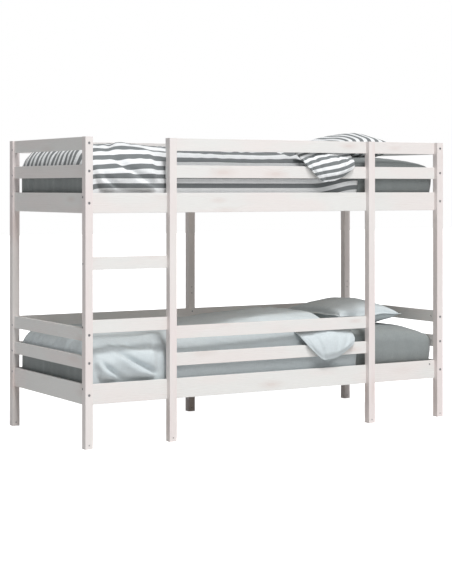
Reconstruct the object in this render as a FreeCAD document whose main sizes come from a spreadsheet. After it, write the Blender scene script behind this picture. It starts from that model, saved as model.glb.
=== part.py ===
"""Bunk bed with a ladder bay, dressed with mattresses, duvets and pillows. Millimetres, +Z up.

The origin is on the floor under the middle of the bed: X runs along the length (the ladder
is at the -X end of the front), Y runs from the front (-Y) to the rear (+Y).
"""

import FreeCAD, Part
import math
import os

import Sketcher

os.makedirs("parts", exist_ok=True)
doc = FreeCAD.newDocument("bunk_bed")

# ---------------------------------------------------------------- driving dimensions
DIMENSIONS = {
    "bed_length": 2056,           # outer faces of the corner posts
    "bed_width": 886,
    "bed_height": 1428,           # top of every post
    "post_side": 38,              # square section
    "post_round": 2,
    "ladder_bay": 436,            # outer face of a corner post to the near face of a middle post
    "rail_thick": 18,
    "rail_round": 1.5,
    "long_setback": 25,           # outer face of a long rail behind the posts' outer faces
    "end_setback": 10,            # outer face of an end rail behind the posts' outer faces
    "side_width": 93,             # side rails carry the slats
    "guard_width": 60,            # guard rails and rungs
    "lower_base": 200,            # underside of the lower side rails
    "upper_base": 1077,
    "mid_guard_rise": 163,        # underside of a middle guard above that of its side rail
    "top_guard_rise": 291,
    "front_guard_drop": 10,       # the lower front guards sit this much lower
    "low_rung": 526,              # underside of a rung
    "high_rung": 816,
    "bolt_diameter": 6,
    "bolt_hole": 7,
    "bolt_head": 12,
    "head_thick": 3,
    "head_sink": 1,               # head below the post's face
    "head_bore": 12.6,
    "socket_across": 4,           # hexagon socket, across flats
    "socket_depth": 2,
    "nut_diameter": 10,
    "nut_bore": 10.2,
    "nut_length": 10,
    "nut_distance": 31,           # from the end of the rail
    "bolt_beyond_nut": 8,
    "long_bolt_inset": 6,         # bolt axis behind the outer face of a long rail
    "side_bolt_rise": 74,         # bolt axis above the underside of a side rail
    "guard_bolt_rise": 15,        # bolt axis of a long guard above its underside
    "long_side_dowel_drop": 44,   # dowel below the bolt in a long side rail
    "long_guard_dowel_rise": 28,  # dowel above the bolt in a long guard
    "end_side_dowel_drop": 30,    # dowel below the bolt in an end side rail
    "end_guard_dowel_rise": 15,   # dowel above the bolt in an end guard
    "rung_dowel_rise": 18,        # dowel above the bolt in a rung
    "dowel_diameter": 8,
    "dowel_bore": 8.2,
    "dowel_length": 28,
    "dowel_bore_depth": 14.5,
    "screw_diameter": 4,
    "screw_bore": 4.2,
    "screw_head": 8,
    "frame_screw_length": 36,
    "slat_count": 14,
    "slat_width": 68,
    "slat_thick": 12,
    "slat_end_gap": 2,
    "slat_margin": 24,            # first slat from the inner face of the end rail
    "ledger_side": 20,
    "ledger_end_gap": 2,
    "ledger_screw_bite": 14,      # into the side rail
    "slat_screw_bite": 13,        # into the ledger
    "ledger_rise": 15,            # underside of a ledger above that of its side rail
    "small_head": 6,
    "small_head_bore": 6.6,
    "small_head_sink": 1.5,
    "foot_screw_height": 18,
    "foot_screw_length": 20,
    "pair_height": 632,           # lower of the two screws in two rear posts' inner faces
    "pair_pitch": 32,
    "pair_screw_length": 16,
    "mattress_length": 1978,
    "mattress_width": 776,
    "mattress_thick": 222,
    "mattress_round": 55,
    "duvet_thick": 50,
    "drop_thick": 8,              # duvet where it is tucked between mattress and rails
    "duvet_length": 1420,
    "duvet_front_length": 1580,
    "duvet_front_strip": 62,
    "front_drop": 263,
    "end_drop": 135,
    "rear_drop": 157,
    "soft_gap": 1,
    "flap_start": 1172,           # from the left end of the duvet
    "flap_length": 280,
    "flap_thick": 17,
    "flap_hang": 138,
    "flap_clearance": 6,          # under the top guard rail
    "flap_standoff": 3,           # behind the plane of the posts' outer faces
    "pillow_length": 380,
    "pillow_width": 520,
    "pillow_thick": 140,
    "pillow_round": 60,
    "pillow_from_end": 148,       # outer face of the end posts to the pillow
}

sheet = doc.addObject("Spreadsheet::Sheet", "sizes")
for row, (alias, number) in enumerate(DIMENSIONS.items(), start=1):
    sheet.set(f"A{row}", alias)
    sheet.set(f"B{row}", str(number))
    sheet.setAlias(f"B{row}", alias)
doc.recompute()


class Size:
    """A length that knows its number and the sheet expression it comes from."""

    def __init__(self, text, number):
        self.text = text
        self.number = float(number)

    def _with(self, other, sign, number):
        text = other.text if isinstance(other, Size) else str(other)
        return Size(f"({self.text} {sign} {text})", number)

    def __add__(self, other):
        return self._with(other, "+", self.number + value(other))

    def __sub__(self, other):
        return self._with(other, "-", self.number - value(other))

    def __mul__(self, other):
        return self._with(other, "*", self.number * value(other))

    def __truediv__(self, other):
        return self._with(other, "/", self.number / value(other))

    def __neg__(self):
        return Size(f"(0 - {self.text})", -self.number)


def value(size):
    return size.number if isinstance(size, Size) else float(size)


def text(size):
    return size.text if isinstance(size, Size) else str(size)


def cell(alias):
    return Size(f"sizes.{alias}", DIMENSIONS[alias])


ZERO = Size("0", 0)
length, width, height = cell("bed_length"), cell("bed_width"), cell("bed_height")
post, bay, thick = cell("post_side"), cell("ladder_bay"), cell("rail_thick")
long_setback, end_setback = cell("long_setback"), cell("end_setback")
side_width, guard_width = cell("side_width"), cell("guard_width")
long_axis = long_setback + cell("long_bolt_inset")      # bolt into a long rail, from the outer face
end_axis = post / 2                                     # bolt into an end rail
half_guard = guard_width / 2
rung_dowel = half_guard + cell("rung_dowel_rise")
inner_length = length - post * 2                        # between the corner posts
inner_width = width - post * 2
LEVELS = {"lower": cell("lower_base"), "upper": cell("upper_base")}


# ---------------------------------------------------------------- helpers
def new_body(name):
    body = doc.addObject("PartDesign::Body", name)
    body.Label = name
    return body


def new_sketch(body, name, role, offset=ZERO):
    """A sketch on one of the body's own origin planes, moved along the plane's normal."""
    sketch = body.newObject("Sketcher::SketchObject", f"{body.Name}_{name}")
    plane = next(f for f in body.Origin.OriginFeatures if f.Role == role)
    sketch.AttachmentSupport = (plane, [""])
    sketch.MapMode = "FlatFace"
    sketch.AttachmentOffset = FreeCAD.Placement(FreeCAD.Vector(0, 0, value(offset)), FreeCAD.Rotation())
    if offset is not ZERO:
        sketch.setExpression("AttachmentOffset.Base.z", text(offset))
    return sketch


def pin(sketch, geometry, point, across, up):
    """Fix a point of the sketch at two sizes from the sketch's origin."""
    for kind, size in (("DistanceX", across), ("DistanceY", up)):
        index = sketch.addConstraint(
            Sketcher.Constraint(kind, -1, 1, geometry, point, value(size)))
        if isinstance(size, Size):
            sketch.setExpression(f"Constraints[{index}]", text(size))


def rectangle(sketch, left, bottom, right, top):
    corners = [(left, bottom), (right, bottom), (right, top), (left, top)]
    points = [FreeCAD.Vector(value(x), value(y), 0) for x, y in corners]
    lines = [sketch.addGeometry(Part.LineSegment(points[i], points[(i + 1) % 4]), False)
             for i in range(4)]
    for i in range(4):
        sketch.addConstraint(
            Sketcher.Constraint("Coincident", lines[i], 2, lines[(i + 1) % 4], 1))
        kind = "Horizontal" if i % 2 == 0 else "Vertical"
        sketch.addConstraint(Sketcher.Constraint(kind, lines[i]))
    pin(sketch, lines[0], 1, left, bottom)
    pin(sketch, lines[2], 1, right, top)


def circle(sketch, across, up, diameter):
    centre = FreeCAD.Vector(value(across), value(up), 0)
    index = sketch.addGeometry(
        Part.Circle(centre, FreeCAD.Vector(0, 0, 1), value(diameter) / 2), False)
    pin(sketch, index, 3, across, up)
    bound = sketch.addConstraint(Sketcher.Constraint("Diameter", index, value(diameter)))
    sketch.setExpression(f"Constraints[{bound}]", text(diameter))


def pad(body, sketch, size):
    feature = body.newObject("PartDesign::Pad", f"{sketch.Name}_pad")
    feature.Profile = sketch
    feature.Length = value(size)
    feature.setExpression("Length", text(size))
    sketch.Visibility = False
    return feature


def pocket(body, sketch, depth=None, reverse=False):
    """Cut to a depth, or right through when no depth is given."""
    feature = body.newObject("PartDesign::Pocket", f"{sketch.Name}_cut")
    feature.Profile = sketch
    feature.Reversed = reverse
    if depth is None:
        feature.Type = "ThroughAll"
    else:
        feature.Length = value(depth)
        feature.setExpression("Length", text(depth))
    sketch.Visibility = False
    return feature


def bores(body, name, role, offset, places, diameter, depth=None, reverse=False):
    """Round holes of one size, all drilled from one plane."""
    if not places:
        return
    sketch = new_sketch(body, name, role, offset)
    for across, up in places:
        circle(sketch, across, up, diameter)
    pocket(body, sketch, depth, reverse)


def round_edges(body, feature, axis, radius):
    """Round the feature's long edges, the ones along one axis."""
    doc.recompute()
    names = []
    for number, edge in enumerate(feature.Shape.Edges, start=1):
        ends = [v.Point for v in edge.Vertexes]
        if len(ends) == 2 and abs((ends[1] - ends[0]).normalize().dot(axis)) > 0.99:
            names.append(f"Edge{number}")
    rounding = body.newObject("PartDesign::Fillet", f"{body.Name}_rounding")
    rounding.Base = (feature, names)
    rounding.Radius = value(radius)
    rounding.setExpression("Radius", text(radius))
    return rounding


def place(thing, x, y, z, turn=0):
    """Put a sub-part in the bed's frame, turned about +Z by some degrees."""
    thing.Placement = FreeCAD.Placement(
        FreeCAD.Vector(value(x), value(y), value(z)),
        FreeCAD.Rotation(FreeCAD.Vector(0, 0, 1), turn))
    for axis, size in (("x", x), ("y", y), ("z", z)):
        thing.setExpression(f"Placement.Base.{axis}", text(size))


X_AXIS, Y_AXIS, Z_AXIS = FreeCAD.Vector(1, 0, 0), FreeCAD.Vector(0, 1, 0), FreeCAD.Vector(0, 0, 1)
parts = []          # every sub-part, in the order it is made
end_joints = []     # (point on the post's outer face, direction into the rail, rail's outer face)
dowel_places = []   # (point where post and rail meet, direction into the rail)
crossings = []      # (x, outer side y sign, middle of the rail's height, rail width)


# ---------------------------------------------------------------- boards
def board(name, run, broad, bolts=(), ends=(False, False), axis=None, screws=(), open_nut=None):
    """A planed board: X along it, its outer face at Y = 0, its lower edge at Z = 0.

    bolts holds (bolt height, dowel height) for each bolted end joint, ends says which of the
    two ends are bolted, screws holds the X of each post that the board crosses. The barrel nuts
    go in from the inner face, except at the end that open_nut names.
    """
    body = new_body(name)
    section = new_sketch(body, "section", "YZ_Plane")
    rectangle(section, 0, 0, thick, broad)
    round_edges(body, pad(body, section, run), X_AXIS, cell("rail_round"))
    bolt_rises = [(axis, rise) for rise, _ in bolts]
    dowel_rises = [(axis, rise) for _, rise in bolts]
    bolt_depth = cell("nut_distance") + cell("bolt_beyond_nut") + 2
    nut_floor = axis - cell("nut_length") / 2 if axis else ZERO
    for number, bolted in enumerate(ends):
        if not bolted:
            continue
        start = run if number else ZERO
        bores(body, f"bolt{number}", "YZ_Plane", start, bolt_rises, cell("bolt_hole"),
              bolt_depth, reverse=not number)
        bores(body, f"dowel{number}", "YZ_Plane", start, dowel_rises, cell("dowel_bore"),
              cell("dowel_bore_depth"), reverse=not number)
        across = run - cell("nut_distance") if number else cell("nut_distance")
        nuts = [(across, rise) for rise, _ in bolts]
        if open_nut == number:
            bores(body, f"nut{number}", "XZ_Plane", ZERO, nuts, cell("nut_bore"),
                  thick - nut_floor)
        else:
            bores(body, f"nut{number}", "XZ_Plane", -thick, nuts, cell("nut_bore"),
                  thick - nut_floor, reverse=True)
    holes = [(x, rise) for x in screws for rise in screw_rises(broad)]
    bores(body, "screws", "XZ_Plane", ZERO, holes, cell("screw_bore"), None)
    parts.append(body)
    return body


def screw_rises(broad):
    """Heights of a crossing's two screws in a rail; in a side rail both clear the ledger."""
    shares = (0.52, 0.84) if broad is side_width else (0.27, 0.73)
    return [broad * share for share in shares]


def joint_rises(broad, is_side, for_end_rail):
    """Heights of a joint's bolt and dowel above the rail's lower edge."""
    if for_end_rail:
        middle = broad / 2
        if is_side:
            return middle, middle - cell("end_side_dowel_drop")
        return middle, middle + cell("end_guard_dowel_rise")
    if is_side:
        return cell("side_bolt_rise"), cell("side_bolt_rise") - cell("long_side_dowel_drop")
    return cell("guard_bolt_rise"), cell("guard_bolt_rise") + cell("long_guard_dowel_rise")


def rail_rows(level, front):
    """(name, underside, width, is side rail) for the three rails on one side of one bunk."""
    base = LEVELS[level]
    drop = cell("front_guard_drop") if front and level == "lower" else ZERO
    return [
        ("side", base, side_width, True),
        ("mid_guard", base + cell("mid_guard_rise") - drop, guard_width, False),
        ("top_guard", base + cell("top_guard_rise") - drop, guard_width, False),
    ]


middle_x = {                      # world X of the middle of each middle post
    "ladder": -(length / 2) + bay + post / 2,
    "entry": length / 2 - bay - post / 2,
    "rear": ZERO,
}
corner_x = length / 2 - post      # inner face of a corner post
corner_y = width / 2 - post
long_outer = width / 2 - long_setback


LEDGER_SCREWS = 6
ledger_end_gap = cell("ledger_end_gap")
ledger_run = inner_length - ledger_end_gap * 2


def ledger_screw_steps():
    """Distances of a ledger's screws from its end."""
    return [ledger_run / LEDGER_SCREWS * (i + 0.5) for i in range(LEDGER_SCREWS)]


def long_rail(name, rear, start, run, base, broad, is_side, ends, posts, open_nut=None):
    """A rail along the bed. start is its low-X end; a rear rail is turned half round."""
    bolt, dowel = joint_rises(broad, is_side, False)
    if name.startswith("rung"):
        bolt, dowel = half_guard, rung_dowel
    near = start + run if rear else start
    crossing_x = [near - x if rear else x - near for x in posts]
    rail = board(name, run, broad, [(bolt, dowel)] if any(ends) else (),
                 ends[::-1] if rear else ends, cell("long_bolt_inset"), crossing_x, open_nut)
    if is_side:
        rise = cell("ledger_rise") + cell("ledger_side") / 2
        bores(rail, "ledger_screws", "XZ_Plane", -thick,
              [(x + ledger_end_gap, rise) for x in ledger_screw_steps()], cell("screw_bore"),
              cell("ledger_screw_bite") + 1, reverse=True)
    if rear:
        place(rail, near, long_outer, base, 180)
    else:
        place(rail, near, -long_outer, base)
    side = 1 if rear else -1
    axis_y = (width / 2 - long_axis).number * side
    for sign, bolted in zip((-1, 1), ends):
        if bolted:
            end_joints.append((FreeCAD.Vector(sign * (length / 2).number, axis_y, (base + bolt).number),
                               X_AXIS * -sign, Y_AXIS * side))
            dowel_places.append((FreeCAD.Vector(sign * corner_x.number, axis_y, (base + dowel).number),
                                 X_AXIS))
    for x in posts:
        crossings.extend((x.number, side, (base + rise).number) for rise in screw_rises(broad))
    return rail


for level in LEVELS:
    for kind, base, broad, is_side in rail_rows(level, front=True):
        if is_side:
            long_rail(f"{kind}_rail_{level}_front", False, -corner_x, inner_length, base, broad,
                      True, (True, True), [middle_x["ladder"], middle_x["entry"]],
                      open_nut=1 if level == "lower" else None)
        elif level == "upper":
            start = -(length / 2) + bay
            long_rail(f"{kind}_{level}_front", False, start, corner_x - start, base, broad,
                      False, (False, True), [middle_x["ladder"], middle_x["entry"]])
        else:
            start = middle_x["ladder"]
            run = middle_x["entry"] + post / 2 - start
            # one column of screws falls in the half of the ladder post that the guard covers
            long_rail(f"{kind}_{level}_front", False, start, run, base, broad, False,
                      (False, False), [start + post / 4, middle_x["entry"]])
    for kind, base, broad, is_side in rail_rows(level, front=False):
        name = f"side_rail_{level}_rear" if is_side else f"{kind}_{level}_rear"
        long_rail(name, True, -corner_x, inner_length, base, broad, is_side, (True, True),
                  [middle_x["rear"]])

for name, base in (("rung_low", cell("low_rung")), ("rung_high", cell("high_rung"))):
    long_rail(name, False, -corner_x, middle_x["ladder"] + corner_x, base, guard_width, False,
              (True, False), [middle_x["ladder"] - post / 4])


def end_rail(name, right, base, broad, is_side):
    """A rail across one end of the bed, between the corner posts."""
    bolt, dowel = joint_rises(broad, is_side, True)
    rail = board(name, inner_width, broad, [(bolt, dowel)], (True, True), end_axis - end_setback)
    side = 1 if right else -1
    outer = (length / 2 - end_setback) * side
    place(rail, outer, -corner_y if right else corner_y, base, 90 * side)
    axis_x = (length / 2 - end_axis).number * side
    for sign in (-1, 1):
        end_joints.append((FreeCAD.Vector(axis_x, sign * (width / 2).number, (base + bolt).number),
                           Y_AXIS * -sign, X_AXIS * side))
        dowel_places.append((FreeCAD.Vector(axis_x, sign * corner_y.number, (base + dowel).number),
                             Y_AXIS))


for level in LEVELS:
    for side_name, right in (("left", False), ("right", True)):
        for kind, base, broad, is_side in rail_rows(level, front=False):
            name = f"{'end_rail' if is_side else kind}_{level}_{side_name}"
            end_rail(name, right, base, broad, is_side)


# ---------------------------------------------------------------- posts
head_bore_depth = cell("head_thick") + cell("head_sink")


def post_blank(name):
    body = new_body(name)
    section = new_sketch(body, "section", "XY_Plane")
    rectangle(section, 0, 0, post, post)
    round_edges(body, pad(body, section, height), Z_AXIS, cell("post_round"))
    return body


def corner_post(name, long_joints, outer_at_zero):
    """A corner post with its outer faces at Y = 0 and at X = 0 or X = post.

    long_joints holds (bolt height, dowel height) of the rails that run along the bed.
    """
    body = post_blank(name)
    end_joint_heights = []
    for level in LEVELS:
        for _, base, broad, is_side in rail_rows(level, front=False):
            bolt, dowel = joint_rises(broad, is_side, True)
            end_joint_heights.append((base + bolt, base + dowel))
    across = [(end_axis, bolt) for bolt, _ in end_joint_heights]
    bores(body, "end_bolts", "XZ_Plane", ZERO, across, cell("bolt_hole"))
    bores(body, "end_heads", "XZ_Plane", ZERO, across, cell("head_bore"), head_bore_depth)
    bores(body, "end_dowels", "XZ_Plane", -post, [(end_axis, dowel) for _, dowel in end_joint_heights],
          cell("dowel_bore"), cell("dowel_bore_depth"), reverse=True)
    along = [(long_axis, bolt) for bolt, _ in long_joints]
    dowels = [(long_axis, dowel) for _, dowel in long_joints]
    outer, inner = (ZERO, post) if outer_at_zero else (post, ZERO)
    bores(body, "long_bolts", "YZ_Plane", ZERO, along, cell("bolt_hole"), None, reverse=True)
    bores(body, "long_heads", "YZ_Plane", outer, along, cell("head_bore"), head_bore_depth,
          reverse=outer_at_zero)
    bores(body, "long_dowels", "YZ_Plane", inner, dowels, cell("dowel_bore"),
          cell("dowel_bore_depth"), reverse=not outer_at_zero)
    parts.append(body)
    return body


def long_joint_heights(rows):
    heights = []
    for _, base, broad, is_side in rows:
        bolt, dowel = joint_rises(broad, is_side, False)
        heights.append((base + bolt, base + dowel))
    return heights


def both_levels(front):
    return [row for level in LEVELS for row in rail_rows(level, front)]


front_rows = both_levels(front=True)
side_rows = [row for row in front_rows if row[3]]
rungs = [(cell(alias) + half_guard, cell(alias) + rung_dowel) for alias in ("low_rung", "high_rung")]
upper_guards = [row for row in rail_rows("upper", front=True) if not row[3]]
rear_joints = long_joint_heights(both_levels(front=False))

# Small screws whose heads sit just below the posts' faces: one near every foot, and a pair
# in the inner faces of two rear posts.
foot_height = cell("foot_screw_height")
small_seats = []                 # (point on the face, length), all driven towards the rear


def small_bores(body, name, front, places, size):
    """Sunk holes in the outer face of a front post or the inner face of a rear one."""
    offset = ZERO if front else -post
    bores(body, name, "XZ_Plane", offset, places, cell("screw_bore"),
          cell("small_head_sink") + cell(size) + 1, reverse=not front)
    bores(body, f"{name}_heads", "XZ_Plane", offset, places, cell("small_head_bore"),
          cell("small_head_sink"), reverse=not front)


def seat_small_screws(x, front, heights, size):
    y = (-(width / 2) if front else corner_y) + cell("small_head_sink")
    for z in heights:
        small_seats.append((FreeCAD.Vector(x.number, y.number, z.number), DIMENSIONS[size]))


front_left = corner_post("post_front_left", long_joint_heights(side_rows) + rungs, True)
front_right = corner_post("post_front_right", long_joint_heights(side_rows + upper_guards), False)
rear_left = corner_post("post_rear_left", rear_joints, False)
rear_right = corner_post("post_rear_right", rear_joints, True)
place(front_left, -(length / 2), -(width / 2), ZERO)
place(front_right, corner_x, -(width / 2), ZERO)
place(rear_left, -corner_x, width / 2, ZERO, 180)
place(rear_right, length / 2, width / 2, ZERO, 180)


def notches(body, name, rows, left, right):
    """Housings in the inner face of a middle post for the rails that pass behind it."""
    sketch = new_sketch(body, name, "XZ_Plane", -post)
    for base, broad in rows:
        rectangle(sketch, left, base, right, base + broad)
    pocket(body, sketch, post - long_setback, reverse=True)


def screw_bores(body, columns):
    """Blind holes for the screws that come through the rails into the floor of the housings."""
    for number, (across, rows) in enumerate(columns):
        places = [(across, base + rise) for base, broad in rows for rise in screw_rises(broad)]
        bores(body, f"screws{number}", "XZ_Plane", -long_setback, places, cell("screw_bore"),
              cell("frame_screw_length") - thick + 1, reverse=True)


def spans(rows):
    return [(base, broad) for _, base, broad, _ in rows]


OVERRUN = 1                      # a through cut reaches this far past the wood
lower_guards = [row for row in rail_rows("lower", front=True) if not row[3]]
rung_spans = [(cell("low_rung"), guard_width), (cell("high_rung"), guard_width)]

ladder_post = post_blank("post_front_ladder")
notches(ladder_post, "through", spans(side_rows + upper_guards), -OVERRUN, post + OVERRUN)
notches(ladder_post, "rungs", rung_spans, -OVERRUN, post / 2)
notches(ladder_post, "guards", spans(lower_guards), post / 2, post + OVERRUN)
screw_bores(ladder_post, [(post / 2, spans(side_rows + upper_guards)), (post / 4, rung_spans),
                          (post * 0.75, spans(lower_guards))])

entry_post = post_blank("post_front_entry")
notches(entry_post, "through", spans(front_rows), -OVERRUN, post + OVERRUN)
screw_bores(entry_post, [(post / 2, spans(front_rows))])

rear_post = post_blank("post_rear_middle")
notches(rear_post, "through", spans(both_levels(front=False)), -OVERRUN, post + OVERRUN)
screw_bores(rear_post, [(post / 2, spans(both_levels(front=False)))])

parts.extend([ladder_post, entry_post, rear_post])
place(ladder_post, middle_x["ladder"] - post / 2, -(width / 2), ZERO)
place(entry_post, middle_x["entry"] - post / 2, -(width / 2), ZERO)
place(rear_post, post / 2, width / 2, ZERO, 180)

left_x, right_x = -(length / 2) + post / 2, length / 2 - post / 2
for body, x, front in ((front_left, left_x, True), (ladder_post, middle_x["ladder"], True),
                       (entry_post, middle_x["entry"], True), (front_right, right_x, True),
                       (rear_left, left_x, False), (rear_post, ZERO, False),
                       (rear_right, right_x, False)):
    small_bores(body, "foot_screw", front, [(post / 2, foot_height)], "foot_screw_length")
    seat_small_screws(x, front, [foot_height], "foot_screw_length")

pair_height = cell("pair_height")
for body, x in ((rear_post, ZERO), (rear_right, right_x)):
    heights = [pair_height, pair_height + cell("pair_pitch")]
    small_bores(body, "pair_screws", False, [(post / 2, z) for z in heights], "pair_screw_length")
    seat_small_screws(x, False, heights, "pair_screw_length")


# ---------------------------------------------------------------- slats and their ledgers
ledger = cell("ledger_side")
ledger_inner_y = long_outer - thick           # inner face of a side rail
slat_run = (ledger_inner_y - cell("slat_end_gap")) * 2
slat_room = length - (end_setback + thick + cell("slat_margin")) * 2
slat_pitch = (slat_room - cell("slat_width")) / (cell("slat_count") - 1)
ledger_screw_places = []
slat_screw_places = []


def ledger_strip(name, rear, level):
    body = new_body(name)
    section = new_sketch(body, "section", "YZ_Plane")
    rectangle(section, 0, 0, ledger, ledger)
    pad(body, section, ledger_run)
    places = [(x, ledger / 2) for x in ledger_screw_steps()]
    bores(body, "screws", "XZ_Plane", ZERO, places, cell("screw_bore"))
    tops = [slat_middle(i) + ledger_run / 2 for i in range(DIMENSIONS["slat_count"])]
    if rear:
        tops = [ledger_run - x for x in tops]
    bores(body, "slat_screws", "XY_Plane", ledger, [(x, ledger / 2) for x in tops],
          cell("screw_bore"), cell("slat_screw_bite") + 1)
    base = LEVELS[level] + cell("ledger_rise")
    side = 1 if rear else -1
    if rear:
        place(body, ledger_run / 2, ledger_inner_y, base, 180)
    else:
        place(body, -(ledger_run / 2), -ledger_inner_y, base)
    for x, _ in places:
        ledger_screw_places.append(FreeCAD.Vector(
            (x - ledger_run / 2).number * -side, side * (ledger_inner_y - ledger).number,
            (base + ledger / 2).number))
    parts.append(body)


def slat_middle(index):
    """World X of the middle of a slat."""
    return slat_pitch * index - slat_room / 2 + cell("slat_width") / 2


for level in LEVELS:
    ledger_strip(f"ledger_{level}_front", False, level)
    ledger_strip(f"ledger_{level}_rear", True, level)


def slats(level):
    """One bunk's slats: a single slat, bored at both ends and repeated along the bed."""
    body = new_body(f"slats_{level}")
    body.AllowCompound = True
    section = new_sketch(body, "section", "XY_Plane")
    rectangle(section, 0, 0, cell("slat_width"), slat_run)
    slat = pad(body, section, cell("slat_thick"))
    inset = ledger / 2 - cell("slat_end_gap")
    middle = cell("slat_width") / 2
    holes = new_sketch(body, "screws", "XY_Plane")
    circle(holes, middle, inset, cell("screw_bore"))
    circle(holes, middle, slat_run - inset, cell("screw_bore"))
    bored = pocket(body, holes, None, reverse=True)
    doc.recompute()
    row = body.newObject("PartDesign::LinearPattern", f"slat_row_{level}")
    row.Originals = [slat, bored]
    along_bed = next(f for f in body.Origin.OriginFeatures if f.Role == "X_Axis")
    row.Direction = (along_bed, [""])
    row.Occurrences = DIMENSIONS["slat_count"]
    row.setExpression("Occurrences", "sizes.slat_count")
    row.Length = (slat_pitch * (DIMENSIONS["slat_count"] - 1)).number
    row.setExpression("Length", (slat_room - cell("slat_width")).text)
    body.Tip = row
    base = LEVELS[level] + cell("ledger_rise") + ledger
    place(body, -(slat_room / 2), -(slat_run / 2), base)
    parts.append(body)
    for index in range(DIMENSIONS["slat_count"]):
        for side in (-1, 1):
            slat_screw_places.append(FreeCAD.Vector(
                slat_middle(index).number, side * (ledger_inner_y - ledger / 2).number,
                (base + cell("slat_thick")).number))


for level in LEVELS:
    slats(level)


# ---------------------------------------------------------------- fasteners
def along(shape, point, direction):
    """Move a shape made along +Z from the origin to a point, pointing in a direction."""
    turned = shape.copy()
    turned.Placement = FreeCAD.Placement(point, FreeCAD.Rotation(Z_AXIS, direction))
    return turned


def group(name, shapes):
    """Identical fasteners share one sub-part, each a separate solid."""
    feature = doc.addObject("Part::Feature", name)
    feature.Label = name
    feature.Shape = Part.makeCompound(shapes)
    feature.Placement = FreeCAD.Placement()
    parts.append(feature)


def hexagon_socket(across, depth):
    radius = across / math.sqrt(3)
    corners = [math.radians(60 * i) for i in range(7)]
    points = [FreeCAD.Vector(radius * math.cos(a), radius * math.sin(a), 0) for a in corners]
    return Part.Face(Part.makePolygon(points)).extrude(FreeCAD.Vector(0, 0, depth))


def joint_bolt(sink, length_under_head):
    """A flat-headed joint bolt with a hexagon socket, its head sunk below the face at Z = 0."""
    head_radius = DIMENSIONS["bolt_head"] / 2
    head = Part.makeCylinder(head_radius, DIMENSIONS["head_thick"], FreeCAD.Vector(0, 0, sink))
    head = head.makeChamfer(0.6, [head.Edges[2]])
    shank = Part.makeCylinder(DIMENSIONS["bolt_diameter"] / 2, length_under_head,
                              FreeCAD.Vector(0, 0, sink + DIMENSIONS["head_thick"]))
    socket = hexagon_socket(DIMENSIONS["socket_across"], DIMENSIONS["socket_depth"])
    socket.translate(FreeCAD.Vector(0, 0, sink))
    return head.fuse(shank).removeSplitter().cut(socket)


def wood_screw(reach, head_radius=DIMENSIONS["screw_head"] / 2):
    """A screw with a shallow cross-slotted head above Z = 0 and a pointed plain shank below it."""
    radius = DIMENSIONS["screw_diameter"] / 2
    head_height, tip_height, slot = 1.2, 4, 0.8
    slot_run = head_radius * 1.1
    head = Part.makeCone(head_radius * 0.8, head_radius, head_height, FreeCAD.Vector(0, 0, -head_height))
    shank = Part.makeCylinder(radius, reach - tip_height)
    tip = Part.makeCone(radius, radius / 5, tip_height, FreeCAD.Vector(0, 0, reach - tip_height))
    slots = [Part.makeBox(run, across, slot, FreeCAD.Vector(-run / 2, -across / 2, -head_height))
             for run, across in ((slot_run, slot), (slot, slot_run))]
    return head.fuse([shank, tip]).removeSplitter().cut(slots)


def barrel_nut():
    """A cylinder cross-drilled for the bolt, which runs along +Z through its middle."""
    radius, size = DIMENSIONS["nut_diameter"] / 2, DIMENSIONS["nut_length"]
    barrel = Part.makeCylinder(radius, size, FreeCAD.Vector(0, -size / 2, 0), Y_AXIS)
    thread = Part.makeCylinder(DIMENSIONS["bolt_diameter"] / 2 + 0.05, 4 * radius,
                               FreeCAD.Vector(0, 0, -2 * radius))
    return barrel.cut(thread)


under_head = (DIMENSIONS["post_side"] + DIMENSIONS["nut_distance"] + DIMENSIONS["bolt_beyond_nut"]
              - DIMENSIONS["head_sink"] - DIMENSIONS["head_thick"])
bolt_shape = joint_bolt(DIMENSIONS["head_sink"], under_head)
nut_shape = barrel_nut()
group("joint_bolts", [along(bolt_shape, point, way) for point, way, _ in end_joints])

nuts = []
for point, way, across in end_joints:
    centre = point + way * (DIMENSIONS["post_side"] + DIMENSIONS["nut_distance"])
    nut = nut_shape.copy()
    turn = FreeCAD.Rotation(way.cross(across).normalize(), across, way, "ZXY")
    nut.Placement = FreeCAD.Placement(centre, turn)
    nuts.append(nut)
group("barrel_nuts", nuts)

half_dowel = DIMENSIONS["dowel_length"] / 2
dowel_shape = Part.makeCylinder(DIMENSIONS["dowel_diameter"] / 2, DIMENSIONS["dowel_length"],
                                FreeCAD.Vector(0, 0, -half_dowel))
dowel_shape = dowel_shape.makeChamfer(0.8, [dowel_shape.Edges[0], dowel_shape.Edges[2]])
group("dowels", [along(dowel_shape, point, way) for point, way in dowel_places])

frame_screw = wood_screw(DIMENSIONS["frame_screw_length"])
group("frame_screws", [along(frame_screw, FreeCAD.Vector(x, side * ledger_inner_y.number, z), Y_AXIS * side)
                       for x, side, z in crossings])

ledger_screw = wood_screw(DIMENSIONS["ledger_side"] + DIMENSIONS["ledger_screw_bite"])
group("ledger_screws", [along(ledger_screw, point, Y_AXIS if point.y > 0 else -Y_AXIS)
                        for point in ledger_screw_places])
slat_screw = wood_screw(DIMENSIONS["slat_thick"] + DIMENSIONS["slat_screw_bite"])
group("slat_screws", [along(slat_screw, point, -Z_AXIS) for point in slat_screw_places])
small_head = DIMENSIONS["small_head"] / 2
group("post_screws", [along(wood_screw(size, small_head), point, Y_AXIS) for point, size in small_seats])


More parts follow.
